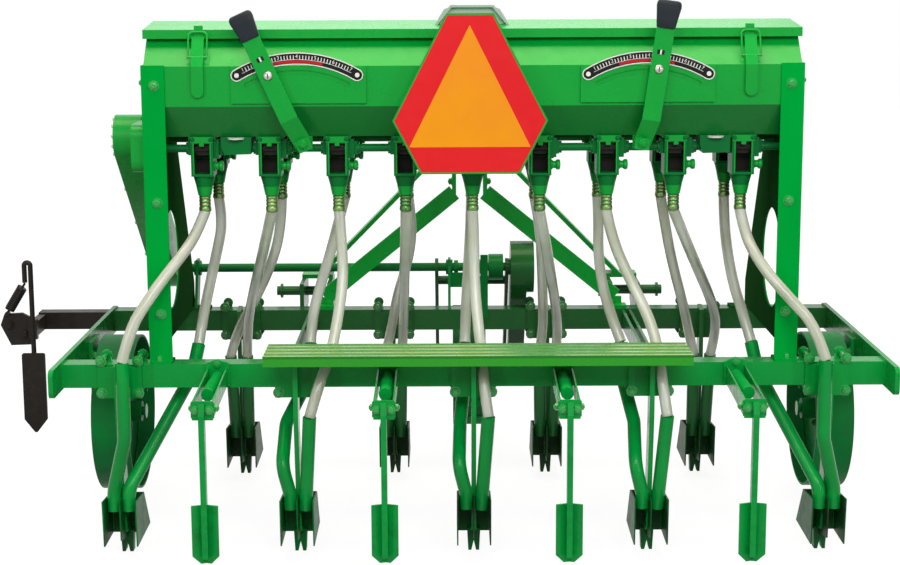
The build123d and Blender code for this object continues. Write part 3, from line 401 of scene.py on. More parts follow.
for name, length, route in HOSES:
    curve = bpy.data.curves.new(name + "_tube", "CURVE")
    curve.dimensions = "3D"
    line = curve.splines.new("NURBS")
    line.points.add(len(route) - 1)
    for point, place in zip(line.points, route):
        point.co = (*spot(*place), 1)
    line.order_u = 3
    line.use_endpoint_u = True
    curve.bevel_depth = HOSE_WIDE / 2
    curve.bevel_resolution = 5
    curve.resolution_u = 10
    curve.use_fill_caps = True
    curve.materials.append(hose_clear)
    hose = bpy.data.objects.new(name + "_tube", curve)
    scene.collection.objects.link(hose)
    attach(hose, "frame")
    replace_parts(hose, name)


# ------------------------------------------------------------------ stage
def seen_direct(tree):
    """1 for what the camera sees, straight or in gloss or glass, 0 for the light on the object."""
    path = add(tree, "ShaderNodeLightPath").outputs
    seen = calc(tree, "MAXIMUM", path["Is Camera Ray"], path["Is Glossy Ray"])
    return calc(tree, "MAXIMUM", seen, path["Is Transmission Ray"])


def floor_material():
    """White where the camera looks, with the drill's own soft shadow on it."""
    mat, tree, shader = new_material("white_floor")
    tree.nodes.remove(shader)
    apart = add(tree, "ShaderNodeVectorMath", {0: own_place(tree), 1: tuple(spot(0, 0.2, 0))},
                operation="DISTANCE").outputs["Value"]
    level = calc(tree, "MULTIPLY", seen_direct(tree), spread(tree, apart, 1.3, 3.2, 0.9, 1.0))
    matt = add(tree, "ShaderNodeBsdfDiffuse", {"Color": (0.2, 0.2, 0.2, 1)})
    glow = add(tree, "ShaderNodeEmission", {"Color": WHITE, "Strength": level})
    both = add(tree, "ShaderNodeAddShader", {0: matt.outputs[0], 1: glow.outputs[0]})
    tree.links.new(both.outputs[0], tree.nodes["Material Output"].inputs["Surface"])
    return mat


FLOOR_HALF = 14
floor_mesh = bpy.data.meshes.new("floor")
floor_mesh.from_pydata([(x * FLOOR_HALF, y * FLOOR_HALF, 0)
                        for x, y in ((-1, -1), (1, -1), (1, 1), (-1, 1))], [], [(0, 1, 2, 3)])
floor_mesh.materials.append(floor_material())
floor = bpy.data.objects.new("floor", floor_mesh)
scene.collection.objects.link(floor)

world = bpy.data.worlds.new("studio")
scene.world = world
world.use_nodes = True
tree = world.node_tree
base = tree.nodes["Background"]
base.inputs["Color"].default_value = (0.97, 0.99, 1.0, 1)
base.inputs["Strength"].default_value = 0.2
seen = add(tree, "ShaderNodeBackground", {"Color": WHITE, "Strength": 1.0})
mix = add(tree, "ShaderNodeMixShader", {"Fac": seen_direct(tree), 1: base.outputs["Background"],
                                        2: seen.outputs["Background"]})
tree.links.new(mix.outputs["Shader"], tree.nodes["World Output"].inputs["Surface"])


def lamp(name, place, aim, power, wide, tall, colour=(1, 1, 1)):
    light = bpy.data.lights.new(name, "AREA")
    light.shape = "RECTANGLE"
    light.size, light.size_y = wide, tall
    light.energy = power
    light.color = colour
    piece = bpy.data.objects.new(name, light)
    piece.location = place
    piece.rotation_euler = (aim - Vector(place)).to_track_quat("-Z", "Y").to_euler()
    scene.collection.objects.link(piece)


middle = spot(0, 0.3, 0.7)
lamp("overhead", spot(-0.1, 0.0, 3.5), spot(-0.1, 0.1, 0.7), 90, 3.4, 1.3, (1.0, 0.87, 0.66))
lamp("camera_side", spot(0.3, -4.4, 3.3), middle, 148, 3.6, 1.7)
lamp("left", spot(-3.8, -1.0, 1.6), middle, 8, 1.6, 2.2)
lamp("right", spot(3.8, -1.0, 1.6), middle, 8, 1.6, 2.2)
lamp("left_strip", spot(-2.6, -3.4, 1.7), middle, 24, 0.14, 2.6)
lamp("right_strip", spot(2.6, -3.4, 1.7), middle, 24, 0.14, 2.6)
lamp("front_top", spot(0, 3.4, 3.2), middle, 30, 3.0, 1.5)


# ------------------------------------------------------------------ mesh helpers
def piece_of(name, shape, body, mat=None, smooth=None, outward=True):
    """Piece at the origin from a finished mesh, riding on a body."""
    mesh = shape
    if isinstance(shape, bmesh.types.BMesh):
        if outward:
            bmesh.ops.recalc_face_normals(shape, faces=shape.faces)
        mesh = bpy.data.meshes.new(name)
        shape.to_mesh(mesh)
        shape.free()
    mesh.name = name
    if mat:
        mesh.materials.clear()
        mesh.materials.append(mat)
    if smooth is not None:
        mesh.shade_smooth()
        mesh.set_sharp_from_angle(angle=radians(smooth))
    piece = bpy.data.objects.new(name, mesh)
    scene.collection.objects.link(piece)
    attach(piece, body)
    return piece


def made_mesh(holder):
    """Plain mesh of an object as its modifiers or its text make it; the object itself goes."""
    scene.collection.objects.link(holder)
    whole = holder.evaluated_get(bpy.context.evaluated_depsgraph_get())
    mesh = bpy.data.meshes.new_from_object(whole)
    bpy.data.objects.remove(holder)
    return mesh


def circle(count):
    """Cosine and sine of count even steps round a full turn."""
    return [(cos(2 * pi * k / count), sin(2 * pi * k / count)) for k in range(count)]


def skin(bm, rings):
    """Wall from each ring of vertices to the next, closed at both ends."""
    for a, b in zip(rings, rings[1:]):
        for k in range(len(a)):
            after = (k + 1) % len(a)
            bm.faces.new((a[k], a[after], b[after], b[k]))
    bm.faces.new(rings[0][::-1])
    bm.faces.new(rings[-1])


def lathe(bm, origin, axis, profile, sides=20):
    """Closed turned shape: profile is (along, radius) from one end to the other."""
    turn = Vector(axis).normalized().to_track_quat("Z", "Y").to_matrix()
    skin(bm, [[bm.verts.new(Vector(origin) + turn @ Vector((radius * c, radius * s, along)))
               for c, s in circle(sides)] for along, radius in profile])


def prism(bm, outline, y, thick):
    """Thin plate with an (x, z) outline, standing proud of y towards the rear."""
    skin(bm, [[bm.verts.new(spot(x, level, z)) for x, z in outline] for level in (y, y - thick)])


def side_panel(bm, outline, x, thick):
    """Thin panel with a (y, z) outline, standing proud of x by thick."""
    skin(bm, [[bm.verts.new(spot(level, y, z)) for y, z in outline] for level in (x, x + thick)])


def block(bm, low, high):
    """Plain block between two corners."""
    bmesh.ops.create_cube(bm, size=1.0, matrix=Matrix.Translation((spot(*low) + spot(*high)) / 2)
                          @ Matrix.Diagonal((*(Vector(high) - Vector(low)), 1)))


def rectangle(x0, x1, z0, z1):
    return [(x0, z0), (x1, z0), (x1, z1), (x0, z1)]


# ------------------------------------------------------------------ fasteners
def fastener_tree():
    """A washer, a hexagon, its chamfered top and the shank's end, stacked on every point."""
    tree = new_tree("fasteners", "GeometryNodeTree",
                    {"Geometry": GEOMETRY, "Head Radius": FLOAT, "Head Height": FLOAT,
                     "Washer": FLOAT, "Shank": FLOAT, "Material": "NodeSocketMaterial"},
                    {"Geometry": GEOMETRY})
    ins = tree.nodes.new("NodeGroupInput").outputs
    size, height, washer, shank = (ins[label] for label in ("Head Radius", "Head Height", "Washer",
                                                            "Shank"))
    cylinder, cone = "GeometryNodeMeshCylinder", "GeometryNodeMeshCone"

    def times(output, by):
        return calc(tree, "MULTIPLY", output, by)

    def stacked(kind, sides, level, sizes):
        """One turned shape of the stack, raised to its level."""
        shape = add(tree, kind, {"Vertices": sides, **sizes}).outputs["Mesh"]
        lift = add(tree, "ShaderNodeCombineXYZ", {"Z": level}).outputs["Vector"]
        return add(tree, "GeometryNodeTransform", {"Geometry": shape, "Translation": lift}).outputs[0]

    top = calc(tree, "ADD", washer, height)
    stack = (stacked(cylinder, 14, times(washer, 0.5), {"Radius": times(size, 1.35), "Depth": washer}),
             stacked(cylinder, 6, calc(tree, "ADD", washer, times(height, 0.5)),
                     {"Radius": size, "Depth": height}),
             stacked(cone, 12, top, {"Radius Bottom": times(size, 0.84),
                                     "Radius Top": times(size, 0.7), "Depth": times(height, 0.16)}),
             stacked(cylinder, 10, calc(tree, "ADD", top, times(shank, 0.5)),
                     {"Radius": times(size, 0.52), "Depth": shank}))
    join = add(tree, "GeometryNodeJoinGeometry")
    for shape in stack:
        tree.links.new(shape, join.inputs[0])
    way = add(tree, "GeometryNodeInputNamedAttribute", {"Name": "way"}, data_type="FLOAT_VECTOR")
    turn = add(tree, "FunctionNodeAlignRotationToVector", {"Vector": way.outputs["Attribute"]}, axis="Z")
    copies = add(tree, "GeometryNodeInstanceOnPoints",
                 {"Points": ins["Geometry"], "Instance": join.outputs[0],
                  "Rotation": turn.outputs["Rotation"]})
    real = add(tree, "GeometryNodeRealizeInstances", {"Geometry": copies.outputs[0]})
    coat = add(tree, "GeometryNodeSetMaterial", {"Geometry": real.outputs[0],
                                                 "Material": ins["Material"]})
    add(tree, "NodeGroupOutput", {"Geometry": coat.outputs[0]})
    return tree


FASTENERS = fastener_tree()
WASHER, SHORTEST_SHANK = 0.0015, 0.0002


def fasteners(name, body, places, size, mat, tall=None, shank=SHORTEST_SHANK):
    """Nuts or bolt heads: places are (point, way out) pairs."""
    points = bpy.data.meshes.new(name + "_points")
    points.from_pydata([tuple(point) for point, _ in places], [], [])
    way = points.attributes.new("way", "FLOAT_VECTOR", "POINT")
    for k, (_, out) in enumerate(places):
        way.data[k].vector = out
    values = {"Head Radius": size, "Head Height": tall or size * 0.8, "Washer": WASHER,
              "Shank": shank, "Material": mat}
    seed = bpy.data.objects.new(name + "_seed", points)
    modifier = seed.modifiers.new("tree", "NODES")
    modifier.node_group = FASTENERS
    for item in FASTENERS.interface.items_tree:
        if item.name in values:
            modifier[item.identifier] = values[item.name]
    return piece_of(name, made_mesh(seed), body)


ROW = 0.222
REAR_ROWS, FRONT_ROWS = (-4, -2, 0, 2, 4), (-3, -1, 1, 3)
tines = [(n * ROW, 0.0) for n in REAR_ROWS] + [(n * ROW, BARS_APART) for n in FRONT_ROWS]
bolts = []
for x, back in tines:
    for dx in (-0.046, 0.046):
        for z in (BAR_BOTTOM - 0.011, BAR_TOP + 0.011):
            bolts += [(spot(x + dx, back - 0.012, z), BACKWARD),
                      (spot(x + dx, back + BAR + 0.008, z), FORWARD)]
fasteners("clamp_nuts", "frame", bolts, 0.0105, nut_green, shank=0.004)


# ------------------------------------------------------------------ plate
def film(name, outlines, y, thick, mat):
    """Film or thin metal with one or more outlines on the rear of y."""
    bm = bmesh.new()
    for outline in outlines:
        prism(bm, outline, y, thick)
    return piece_of(name, bm, "frame", mat)


def inset(points, by):
    """Outline drawn in by a margin on every edge."""
    points = [Vector(p) for p in points]
    middle = sum(points, Vector((0, 0))) / len(points)
    edges = []
    for k, a in enumerate(points):
        along = points[(k + 1) % len(points)] - a
        away = Vector((along.y, -along.x)).normalized()
        if away.dot(a - middle) < 0:
            away = -away
        edges.append((a - away * by, along))
    corners = []
    for k in range(len(edges)):
        (p, d), (q, e) = edges[k - 1], edges[k]
        corners.append(tuple(p + d * (q - p).cross(e) / d.cross(e)))
    return corners


def rounded(points, radius, steps=5):
    """Convex outline with its corners rounded."""
    out = []
    for k in range(len(points)):
        a, b, c = (Vector(points[(k + j) % len(points)]) for j in (-1, 0, 1))
        into, away = (a - b).normalized(), (c - b).normalized()
        cut = radius / tan(into.angle(away) / 2)
        start, end = b + into * cut, b + away * cut
        for j in range(steps + 1):
            t = j / steps
            out.append(tuple(start.lerp(b, t).lerp(b.lerp(end, t), t)))
    return out


SIGN_X, SIGN_Y, SIGN_FILM, GREEN_RIM = -0.007, -0.042, 0.0006, 0.0045
hexagon = [(SIGN_X + x, z) for x, z in ((-0.057, 1.365), (0.057, 1.365), (0.19, 1.106),
                                        (0.122, 0.976), (-0.122, 0.976), (-0.19, 1.106))]
film("sign_red_field", [inset(hexagon, GREEN_RIM)], SIGN_Y, SIGN_FILM, red_film)
film("sign_orange_triangle", [((-0.008, 1.337), (0.14, 1.042), (-0.156, 1.042))],
     SIGN_Y - SIGN_FILM, 0.0005, orange_film)

# ------------------------------------------------------------------ rate scales
SCALE_Y, SCALE_R, SCALE_TOP, SCALE_TURN = 0.009, 0.287, 1.256, 31
BORDER, GROUND = 0.0148, 0.0122  # half widths of the white border and the black ground
TICK_TURN, TICKS, TICKS_PER_NUMBER = 1.5, 18, 6


def on_arc(middle, r, turn):
    return middle + r * sin(radians(turn)), SCALE_TOP - SCALE_R + r * cos(radians(turn))


def arc_outline(middle, low, high, start, end, steps=36, round_ends=False):
    """Band along the scale's arc, low and high from its middle line."""
    low, high = SCALE_R + low, SCALE_R + high
    turns = [start + (end - start) * k / steps for k in range(steps + 1)]
    outer = [on_arc(middle, high, a) for a in turns]
    inner = [on_arc(middle, low, a) for a in turns[::-1]]
    if not round_ends:
        return outer + inner
    half = (high - low) / 2

    def cap(turn, sign):
        x, z = on_arc(middle, (low + high) / 2, turn)
        angles = [radians(90 - turn) - sign * pi * j / 8 for j in range(1, 8)]
        return [(x + half * cos(a), z + half * sin(a)) for a in angles]
    return outer + cap(end, 1) + inner + cap(start, -1)[::-1]


def number_faces(bm, text, middle, r, turn, size, y):
    """Number on the arc, upright along the radius."""
    curve = bpy.data.curves.new("number", "FONT")
    curve.body, curve.size = text, size
    curve.align_x = curve.align_y = "CENTER"
    mesh = made_mesh(bpy.data.objects.new("number", curve))
    x, z = on_arc(middle, r, turn)
    mesh.transform(Matrix.Translation(spot(x, y, z)) @ Matrix.Rotation(radians(turn), 4, "Y")
                   @ Matrix.Rotation(pi / 2, 4, "X"))
    bm.from_mesh(mesh)
    bpy.data.meshes.remove(mesh)


for side, middle_x in (("left", -0.431), ("right", 0.431)):
    for name, half, y, mat in (("_scale_border", BORDER, SCALE_Y, scale_white),
                               ("_scale_ground", GROUND, SCALE_Y - 0.0003, scale_black)):
        film(side + name, [arc_outline(middle_x, -half, half, -SCALE_TURN, SCALE_TURN,
                                       round_ends=True)], y, 0.0003, mat)
    marks = [arc_outline(middle_x, -0.0030, -0.0020, -28, 28)]
    numbers = bmesh.new()
    for k in range(-TICKS, TICKS + 1):
        turn = k * TICK_TURN
        if k % TICKS_PER_NUMBER == 0:
            number_faces(numbers, str(k // TICKS_PER_NUMBER + 4), middle_x, SCALE_R + 0.0046, turn,
                         0.0125, SCALE_Y - 0.0009)
        else:
            marks.append(arc_outline(middle_x, -0.0020, 0.0075, turn - 0.2, turn + 0.2, steps=1))
    piece_of(side + "_scale_numbers", numbers, "frame", scale_white, outward=False)
    for end in (-SCALE_TURN, SCALE_TURN):
        x, z = on_arc(middle_x, SCALE_R, end)
        marks.append([(x + 0.0058 * c, z + 0.0058 * s) for c, s in circle(18)])
    film(side + "_scale_marks", marks, SCALE_Y - 0.0006, 0.0002, scale_white)
    film(side + "_scale_working_range", [arc_outline(middle_x, -0.0105, -0.0042, -15, 13)],
         SCALE_Y - 0.0006, 0.0002, scale_red)

# ------------------------------------------------------------------ rate levers
LEVER_Y, LEVER_MIDDLE_Y = -0.010, -0.007
WINDOW_HALF_HEIGHT, GRIP_HEIGHT = 0.0055, 0.068
for x, z, tilt in ((-0.518, 1.2547, -24.4), (0.458, 1.2686, 8.2)):
    lean = Vector((sin(radians(tilt)), cos(radians(tilt))))
    across = Vector((lean.y, -lean.x))
    for name, half, y, mat in (("lever_window", 0.009, LEVER_Y, scale_black),
                               ("lever_pointer", 0.002, LEVER_Y - 0.0004, scale_white)):
        film(name, [[tuple(Vector((x, z)) + across * half * a + lean * WINDOW_HALF_HEIGHT * b)
                     for a, b in rectangle(-1, 1, -1, 1)]], y, 0.0004, mat)
screws, slot_shade_bars = bmesh.new(), bmesh.new()
for x, z in ((0.4538, 1.2275), (-0.5, 1.2147)):
    lathe(screws, spot(x, LEVER_Y + 0.001, z), BACKWARD,
          [(0, 0.0118), (0.0025, 0.0118), (0.0055, 0.0104), (0.0078, 0.0072), (0.0088, 0.003)], 24)
    # A darker steel bar across each screw head, painted shade for the slot.
    prism(slot_shade_bars, rectangle(x - 0.0015, x + 0.0015, z - 0.006, z + 0.006), LEVER_Y - 0.0070, 0.0020)
piece_of("lever_clamp_screws", screws, "frame", bright_steel, smooth=40)
piece_of("lever_screw_slot_shades", slot_shade_bars, "frame", dark_steel)

# share of the grip's height, half its width, half its depth
GRIP_PROFILE = ((0.0, 0.0205, 0.0072), (0.02, 0.0230, 0.0086), (0.30, 0.0258, 0.0108),
                (0.60, 0.0285, 0.0134), (0.78, 0.0304, 0.0150), (0.82, 0.0298, 0.0144),
                (0.84, 0.0304, 0.0149), (0.87, 0.0294, 0.0139), (0.89, 0.0298, 0.0142),
                (0.92, 0.0284, 0.0128), (0.94, 0.0283, 0.0127), (0.97, 0.0262, 0.0106),
                (1.0, 0.0215, 0.0065))


def boxy(value):
    """Cosine or sine pushed out towards the corners of a rounded rectangle."""
    return abs(value) ** 0.55 * (1 if value >= 0 else -1)


grips = bmesh.new()
for fold, foot in (((-0.451, 1.107), (-0.54, 1.303)), ((0.437, 1.103), (0.469, 1.326))):
    lean = (Vector(foot) - Vector(fold)).normalized()
    across = Vector((lean.y, -lean.x))
    rings = []
    for share, wide, deep in GRIP_PROFILE:
        level = Vector(foot) + lean * GRIP_HEIGHT * share
        ring = []
        for c, s in circle(32):
            x, z = level + across * wide * boxy(c)
            ring.append(grips.verts.new(spot(x, LEVER_MIDDLE_Y + deep * boxy(s), z)))
        rings.append(ring)
    skin(grips, rings)
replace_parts(piece_of("moulded_grips", grips, "frame", grip_rubber, smooth=50),
            "lever_grips")

LEVER_PIVOTS = ((-0.420, 1.045, 25), (0.420, 1.046, -8))
hubs = bmesh.new()
for x, z, turn in LEVER_PIVOTS:
    corners = [radians(45 + 90 * k + turn) for k in range(4)]
    prism(hubs, rounded([(x + 0.026 * cos(a), z + 0.026 * sin(a)) for a in corners], 0.003),
          0.0275, 0.0065)
piece_of("lever_hub_plates", hubs, "frame", green)

web_low, web_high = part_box("lid_handle")
middle_x = (web_low.x + web_high.x) / 2 - CENTRE
right_edge = [(0.051, web_high.z - 0.003), (0.070, web_high.z - 0.010), (0.084, web_low.z + 0.017),
              (0.091, web_low.z + 0.001)]
web = bmesh.new()
prism(web, [(middle_x - x, z) for x, z in right_edge[::-1]] + [(middle_x + x, z) for x, z in right_edge],
      (web_low.y + web_high.y) / 2 - REAR, 0.0025)
piece_of("handle_web", web, "lid", handle_grey)

# ------------------------------------------------------------------ feed cups
CUP_PITCH, CUP_ROWS, FEED_Z = 0.1692, (0.100, 0.370), 1.028
HOPPER_FLOOR, CUP_FACE = 1.0595, 0.034
cups = [((i - 4) * CUP_PITCH, y) for y in CUP_ROWS for i in range(9)]
SPOUT_RIBS = [(0, 0.0128), (0.002, 0.0148), (0.006, 0.0150), (0.008, 0.0132), (0.0105, 0.0148),
              (0.015, 0.0150), (0.017, 0.0132), (0.0195, 0.0147), (0.024, 0.0149), (0.026, 0.0132),
              (0.029, 0.0150), (0.036, 0.0158), (0.040, 0.0150)]
KNOB = [(0, 0.0125), (0.003, 0.0128), (0.0045, 0.0115), (0.006, 0.0094), (0.012, 0.0092),
        (0.0145, 0.0122), (0.017, 0.0130), (0.021, 0.0130), (0.0235, 0.0112), (0.0245, 0.006)]
spouts, knobs, cones = bmesh.new(), bmesh.new(), bmesh.new()
for x, y in cups:
    lathe(spouts, spot(x, y, 0.9085), DOWN, SPOUT_RIBS)
    lathe(cones, spot(x, y, 0.932), DOWN, [(0, 0.0212), (0.0225, 0.0165), (0.0235, 0.0128)])
    lathe(knobs, spot(x + 0.027, y - 0.014, 0.985), RIGHT, KNOB)
piece_of("spout_ribs", spouts, "frame", olive_steel, smooth=35)
piece_of("spout_cone_rings", cones, "frame", green, smooth=35)
piece_of("gate_knobs", knobs, "frame", green, smooth=40)

rims, painted_shade_backs = bmesh.new(), bmesh.new()
for x, y in cups:
    for dx in (-0.0215, 0.0215):
        prism(rims, rectangle(x + dx - 0.00175, x + dx + 0.00175, 0.964, 1.044), y - CUP_FACE, 0.0022)
    prism(rims, rectangle(x - 0.028, x + 0.028, 1.044, HOPPER_FLOOR), y - CUP_FACE, 0.003)
    prism(rims, rounded(rectangle(x - 0.006, x + 0.006, 1.036, 1.044), 0.002), y - CUP_FACE, 0.0045)
    # A black sheet inside each cup behind the roller, painted shade seen through the window.
    prism(painted_shade_backs, rectangle(x - 0.0238, x + 0.0238, 0.9645, 1.0), y + 0.0298, 0.001)
piece_of("cup_window_rims", rims, "frame", green)
piece_of("cup_painted_shade_backs", painted_shade_backs, "frame", roller_black)

FLUTES = [(0.0222 if k % 4 < 2 else 0.0203) for k in range(32)]
for row, y in zip(("rear", "front"), CUP_ROWS):
    rollers = bmesh.new()
    for i in range(9):
        x = (i - 4) * CUP_PITCH
        skin(rollers, [[rollers.verts.new(spot(x + along, y + r * c, FEED_Z + r * s))
                        for r, (c, s) in zip(FLUTES, circle(32))] for along in (-0.0152, 0.0152)])
        for dx in (-0.0182, 0.0152):
            lathe(rollers, spot(x + dx, y, FEED_Z), RIGHT, [(0, 0.0212), (0.003, 0.0212)], 24)
    piece_of(row + "_fluted_rollers", rollers, row + "_feed", roller_black)

lugs = bmesh.new()
for x, y in cups:
    block(lugs, (x + 0.028, y - 0.022, 1.004), (x + 0.041, y + 0.020, 1.052))
    block(lugs, (x + 0.041, y - 0.014, 1.012), (x + 0.048, y + 0.012, 1.046))
    block(lugs, (x - 0.037, y - 0.016, 1.012), (x - 0.028, y + 0.016, 1.050))
    lathe(lugs, spot(x - 0.037, y, FEED_Z), LEFT, [(0, 0.0150), (0.006, 0.0150)], 18)
    lathe(lugs, spot(x + 0.048, y, FEED_Z), RIGHT, [(0, 0.0150), (0.007, 0.0150)], 18)
    block(lugs, (x - 0.034, y - 0.030, 1.052), (x + 0.034, y + 0.030, 1.0597))
piece_of("cup_bearing_lugs", lugs, "frame", cup_green)

drains, discs = bmesh.new(), bmesh.new()
for x in (-0.590, 0.605):
    prism(drains, [(x - 0.038, HOPPER_FLOOR), (x + 0.038, HOPPER_FLOOR), (x + 0.036, 1.0165),
                   (x - 0.030, 1.0145), (x - 0.038, 1.036)], 0.135, 0.075)
    lathe(discs, spot(x, 0.058, 1.0586), DOWN, [(0, 0.021), (0.0045, 0.0195)], 24)
piece_of("drain_gates", drains, "frame", cup_green)
piece_of("drain_gate_discs", discs, "frame", scale_white, smooth=40)


# ------------------------------------------------------------------ coil springs
def coil(bm, start, end, radius, wire, turns, per_turn=14, sides=7):
    """Wire wound round the line from start to end."""
    axis = (end - start).normalized()
    side = axis.orthogonal().normalized()
    other = axis.cross(side)
    count = turns * per_turn
    centres = [start.lerp(end, k / count) + (side * cos(2 * pi * k / per_turn)
                                             + other * sin(2 * pi * k / per_turn)) * radius
               for k in range(count + 1)]
    rings = []
    for k, centre in enumerate(centres):
        ahead = (centres[min(k + 1, count)] - centres[max(k - 1, 0)]).normalized()
        out = (centre - start - axis * (centre - start).dot(axis)).normalized()
        up = ahead.cross(out).normalized()
        rings.append([bm.verts.new(centre + (out * c + up * s) * wire) for c, s in circle(sides)])
    skin(bm, rings)


COVERING_X, SPRING_Z = (-0.642, -0.215, 0.223, 0.658), 0.464
springs = bmesh.new()
for x in COVERING_X:
    coil(springs, spot(x, -0.0128, SPRING_Z), spot(x, -0.2052, SPRING_Z), 0.0130, 0.0030, 22)
    lathe(springs, spot(x, -0.010, SPRING_Z), BACKWARD, [(0, 0.0065), (0.193, 0.0065)], 14)
    lathe(springs, spot(x, -0.202, SPRING_Z), BACKWARD, [(0, 0.0155), (0.006, 0.0155)], 18)
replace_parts(piece_of("covering_coils", springs, "frame", deep_green, smooth=50),
            "covering_springs")

marker_coil = bmesh.new()
eye_foot, spring_foot = spot(-1.247, 0.534, 0.6098), spot(-1.300, 0.534, 0.524)
run = spring_foot - eye_foot
coil(marker_coil, eye_foot + run * 0.14, eye_foot + run * 0.86, 0.0122, 0.0026, 13)
for a, b in ((0.0, 0.16), (0.84, 1.0)):
    lathe(marker_coil, eye_foot + run * a, run, [(0, 0.0034), ((b - a) * run.length, 0.0034)], 10)
for share in (0.14, 0.84):
    lathe(marker_coil, eye_foot + run * share, run, [(0, 0.0118), (0.003, 0.0140)], 16)
lathe(marker_coil, spring_foot + Vector((0, -0.006, 0)), FORWARD, [(0, 0.0058), (0.020, 0.0058)], 14)
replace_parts(piece_of("marker_coil", marker_coil, "marker", black_paint, smooth=50),
            "marker_spring")

# ------------------------------------------------------------------ bolts
bolts = []
for x in COVERING_X:
    bolts += [(spot(x, -0.010, 0.497), BACKWARD)]
    bolts += [(spot(x + dx, -0.305, 0.450), BACKWARD) for dx in (-0.016, 0.016)]
    bolts += [(spot(x + side * 0.025, -0.274, 0.448), (side, 0, 0)) for side in SIDES]
fasteners("covering_bolts", "frame", bolts, 0.0088, nut_green, shank=0.003)

PLATE_X, FOOT_TOP = 0.815, BAR_TOP + 0.006
bolts = []
for side in SIDES:
    bolts += [(spot(side * 1.026, y, 0.440), (-side, 0, 0)) for y in (0.36, 0.44)]
    bolts += [(spot(side * 0.783, 0.014, z), BACKWARD) for z in (0.62, 0.90, 1.19)]
    bolts += [(spot(side * PLATE_X, y, z), (side, 0, 0))
              for y, z in ((0.07, 1.195), (0.16, 1.195), (0.30, 1.195), (0.40, 1.195),
                           (0.12, 1.085), (0.35, 1.085))]
    bolts += [(spot(side * 0.79, y, FOOT_TOP), UP) for y in (0.018, 0.042)]
fasteners("frame_bolts", "frame", bolts, 0.0100, nut_green, shank=0.004)

bolts = []
for side in SIDES:
    bolts += [(spot(side * 0.4125, 0.760, z), BACKWARD) for z in (0.5074, 0.474)]
    bolts += [(spot(side * 0.051, 0.80, z), (side, 0, 0)) for z in (0.860, 0.960)]
fasteners("mast_bolts", "frame", bolts, 0.0092, green, shank=0.003)

bolts = [(spot(x, 0.021, z), BACKWARD) for x, z, _ in LEVER_PIVOTS]
fasteners("lever_hub_bolts", "frame", bolts, 0.0115, green, shank=0.004)

bolts = []
for x, y in cups:
    bolts += [(spot(x + dx, y - 0.037, 1.053), BACKWARD) for dx in (-0.023, 0.023)]
    bolts += [(spot(x + 0.028, y + 0.012, 1.045), RIGHT), (spot(x - 0.028, y - 0.012, 1.045), LEFT)]
fasteners("cup_screws", "frame", bolts, 0.0042, cup_green, tall=0.003)

bolts = [(spot(-1.297, 0.548, 0.488), BACKWARD), (spot(-1.256, 0.548, 0.462), BACKWARD)]
fasteners("marker_bolts", "marker", bolts, 0.0105, black_paint, shank=0.005)

# ------------------------------------------------------------------ weld beads
HEXAGON = [(cos(pi * j / 3), sin(pi * j / 3)) for j in range(6)]
BEAD_R, BEAD_STEP = 0.0026, 0.0034
welds = bmesh.new()


def bead(start, end):
    """Scalloped weld along a line."""
    start, along = spot(*start), spot(*end) - spot(*start)
    count = max(2, int(along.length / BEAD_STEP) * 2)
    turn = along.to_track_quat("Z", "Y").to_matrix()
    rings = []
    for k in range(count + 1):
        r = BEAD_R * (1.08 if k % 2 else 0.82) * (0.6 if k in (0, count) else 1.0)
        rings.append([welds.verts.new(start + along * (k / count) + turn @ Vector((r * c, r * s, 0)))
                      for c, s in HEXAGON])
    skin(welds, rings)


def ring_bead(bm, centre, radius, count, thick=0.0022):
    """Scalloped weld round a tube that lies across the drill."""
    axis = Vector(RIGHT)
    side = axis.orthogonal().normalized()
    other = axis.cross(side)
    rings = []
    for k, (across, up) in enumerate(circle(count)):
        out = side * across + other * up
        r = thick * (1.15 if k % 2 else 0.85)
        rings.append([bm.verts.new(centre + out * (radius + r * c) + axis * r * s) for c, s in HEXAGON])
    for a, b in zip(rings, rings[1:] + rings[:1]):
        for j in range(6):
            bm.faces.new((a[j], a[(j + 1) % 6], b[(j + 1) % 6], b[j]))


for x, back in tines:
    for dx in (-0.006, 0.006):
        bead((x + dx, back - 0.0122, BAR_BOTTOM - 0.02), (x + dx, back - 0.0122, BAR_TOP - 0.007))
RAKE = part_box("furrow_openers")[0].y - REAR + 0.138
for x, back in tines:
    y = back + RAKE
    for side in SIDES:
        bead((x + side * 0.0395, y - 0.011, 0.046), (x + side * 0.0395, y - 0.011, 0.148))
    for dx in (-0.006, 0.006):
        bead((x + dx, y - 0.063, 0.064), (x + dx, y - 0.014, 0.0585))
for x in COVERING_X:
    for side in SIDES:
        bead((x + side * 0.025, -0.0105, 0.446), (x + side * 0.025, -0.0105, 0.486))
        bead((x + side * 0.0255, -0.300, 0.430), (x + side * 0.0255, -0.300, 0.469))
for end_x in (-1.036, 1.036):
    for y in (0.0, BAR, BARS_APART, BARS_APART + BAR):
        bead((end_x, y, BAR_BOTTOM + 0.002), (end_x, y, BAR_TOP - 0.002))
    for y in (0.0, BARS_APART):
        bead((end_x, y + 0.004, BAR_TOP), (end_x, y + BAR - 0.004, BAR_TOP))
for x in (0.120, 0.290):
    for side in SIDES:
        foot_x = side * (x + 0.003)
        bead((foot_x, 0.0, BAR_TOP + 0.002), (foot_x, 0.048, BAR_TOP + 0.007))
piece_of("weld_beads", welds, "frame", deep_green, smooth=60)

# ------------------------------------------------------------------ chain case cover
CASE_TOP, CASE_FOOT = Vector((0.235, 1.045)), Vector((0.800, 0.607))
case_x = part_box("main_chain_case")[0].x - CENTRE


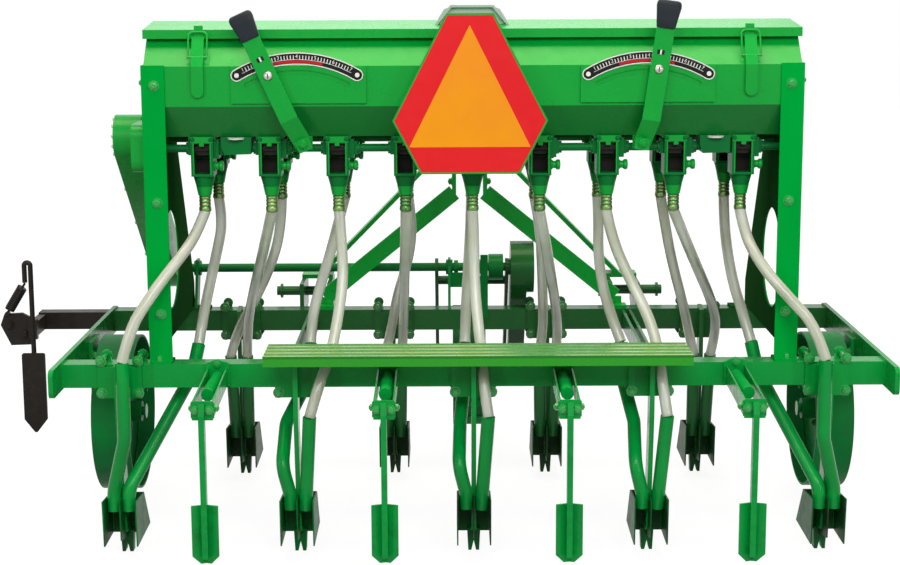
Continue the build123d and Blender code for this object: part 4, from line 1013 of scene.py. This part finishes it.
def oval(first, first_r, second, second_r, steps=14):
    """(y, z) outline round two circles, the first one further to the rear."""
    lean = atan2(second.y - first.y, second.x - first.x)
    return [(end.x + r * cos(start + pi * k / steps), end.y + r * sin(start + pi * k / steps))
            for end, r, start in ((first, first_r, lean + pi / 2), (second, second_r, lean - pi / 2))
            for k in range(steps + 1)]


cover = bmesh.new()
side_panel(cover, oval(CASE_TOP, 0.046, CASE_FOOT, 0.042), case_x, -0.0018)
for hub, r in ((CASE_TOP, 0.020), (CASE_FOOT, 0.018)):
    side_panel(cover, oval(hub, r, hub, r), case_x - 0.0018, -0.003)
piece_of("chain_case_cover", cover, "frame", green)
rim = oval(CASE_TOP, 0.052, CASE_FOOT, 0.048, steps=6)
along = (CASE_FOOT - CASE_TOP).normalized()
across = Vector((-along.y, along.x)) * 0.050
rim += [CASE_TOP.lerp(CASE_FOOT, share) + across * side for share in (0.25, 0.5, 0.75) for side in SIDES]
fasteners("case_screws", "frame", [(spot(case_x, y, z), LEFT) for y, z in rim], 0.0042,
          bright_steel, tall=0.003)

# ------------------------------------------------------------------ wheels and link pins
WHEEL_X, HUB_Y, HUB_Z, NUT_RING = 0.957, 0.4, 0.275, 0.055
for name, sign in (("left_wheel", -1), ("right_wheel", 1)):
    nuts, rims = [], bmesh.new()
    for c, s in circle(6):
        nuts += [(spot(sign * WHEEL_X + face * 0.003, HUB_Y + NUT_RING * c, HUB_Z + NUT_RING * s),
                  (face, 0, 0)) for face in SIDES]
    fasteners(name + "_nuts", name, nuts, 0.0085, wheel_green, shank=0.004)
    for face in SIDES:
        ring_bead(rims, spot(sign * WHEEL_X + face * 0.0065, HUB_Y, HUB_Z), 0.2035, 96)
        ring_bead(rims, spot(sign * WHEEL_X + face * 0.0035, HUB_Y, HUB_Z), 0.0290, 40)
        lathe(rims, spot(sign * WHEEL_X + face * 0.048, HUB_Y, HUB_Z), (face, 0, 0),
              [(0, 0.0262), (0.0019, 0.0240)], 28)
    piece_of(name + "_welds", rims, name, wheel_green, smooth=50)

PIN_Y, PIN_Z = 0.930, 0.515
collars = bmesh.new()
for side in SIDES:
    for x in (0.503, 0.562):
        lathe(collars, spot(side * x, PIN_Y, PIN_Z), (side, 0, 0), [(0, 0.0215), (0.007, 0.0215)], 24)
piece_of("link_pin_collars", collars, "frame", deep_green, smooth=40)
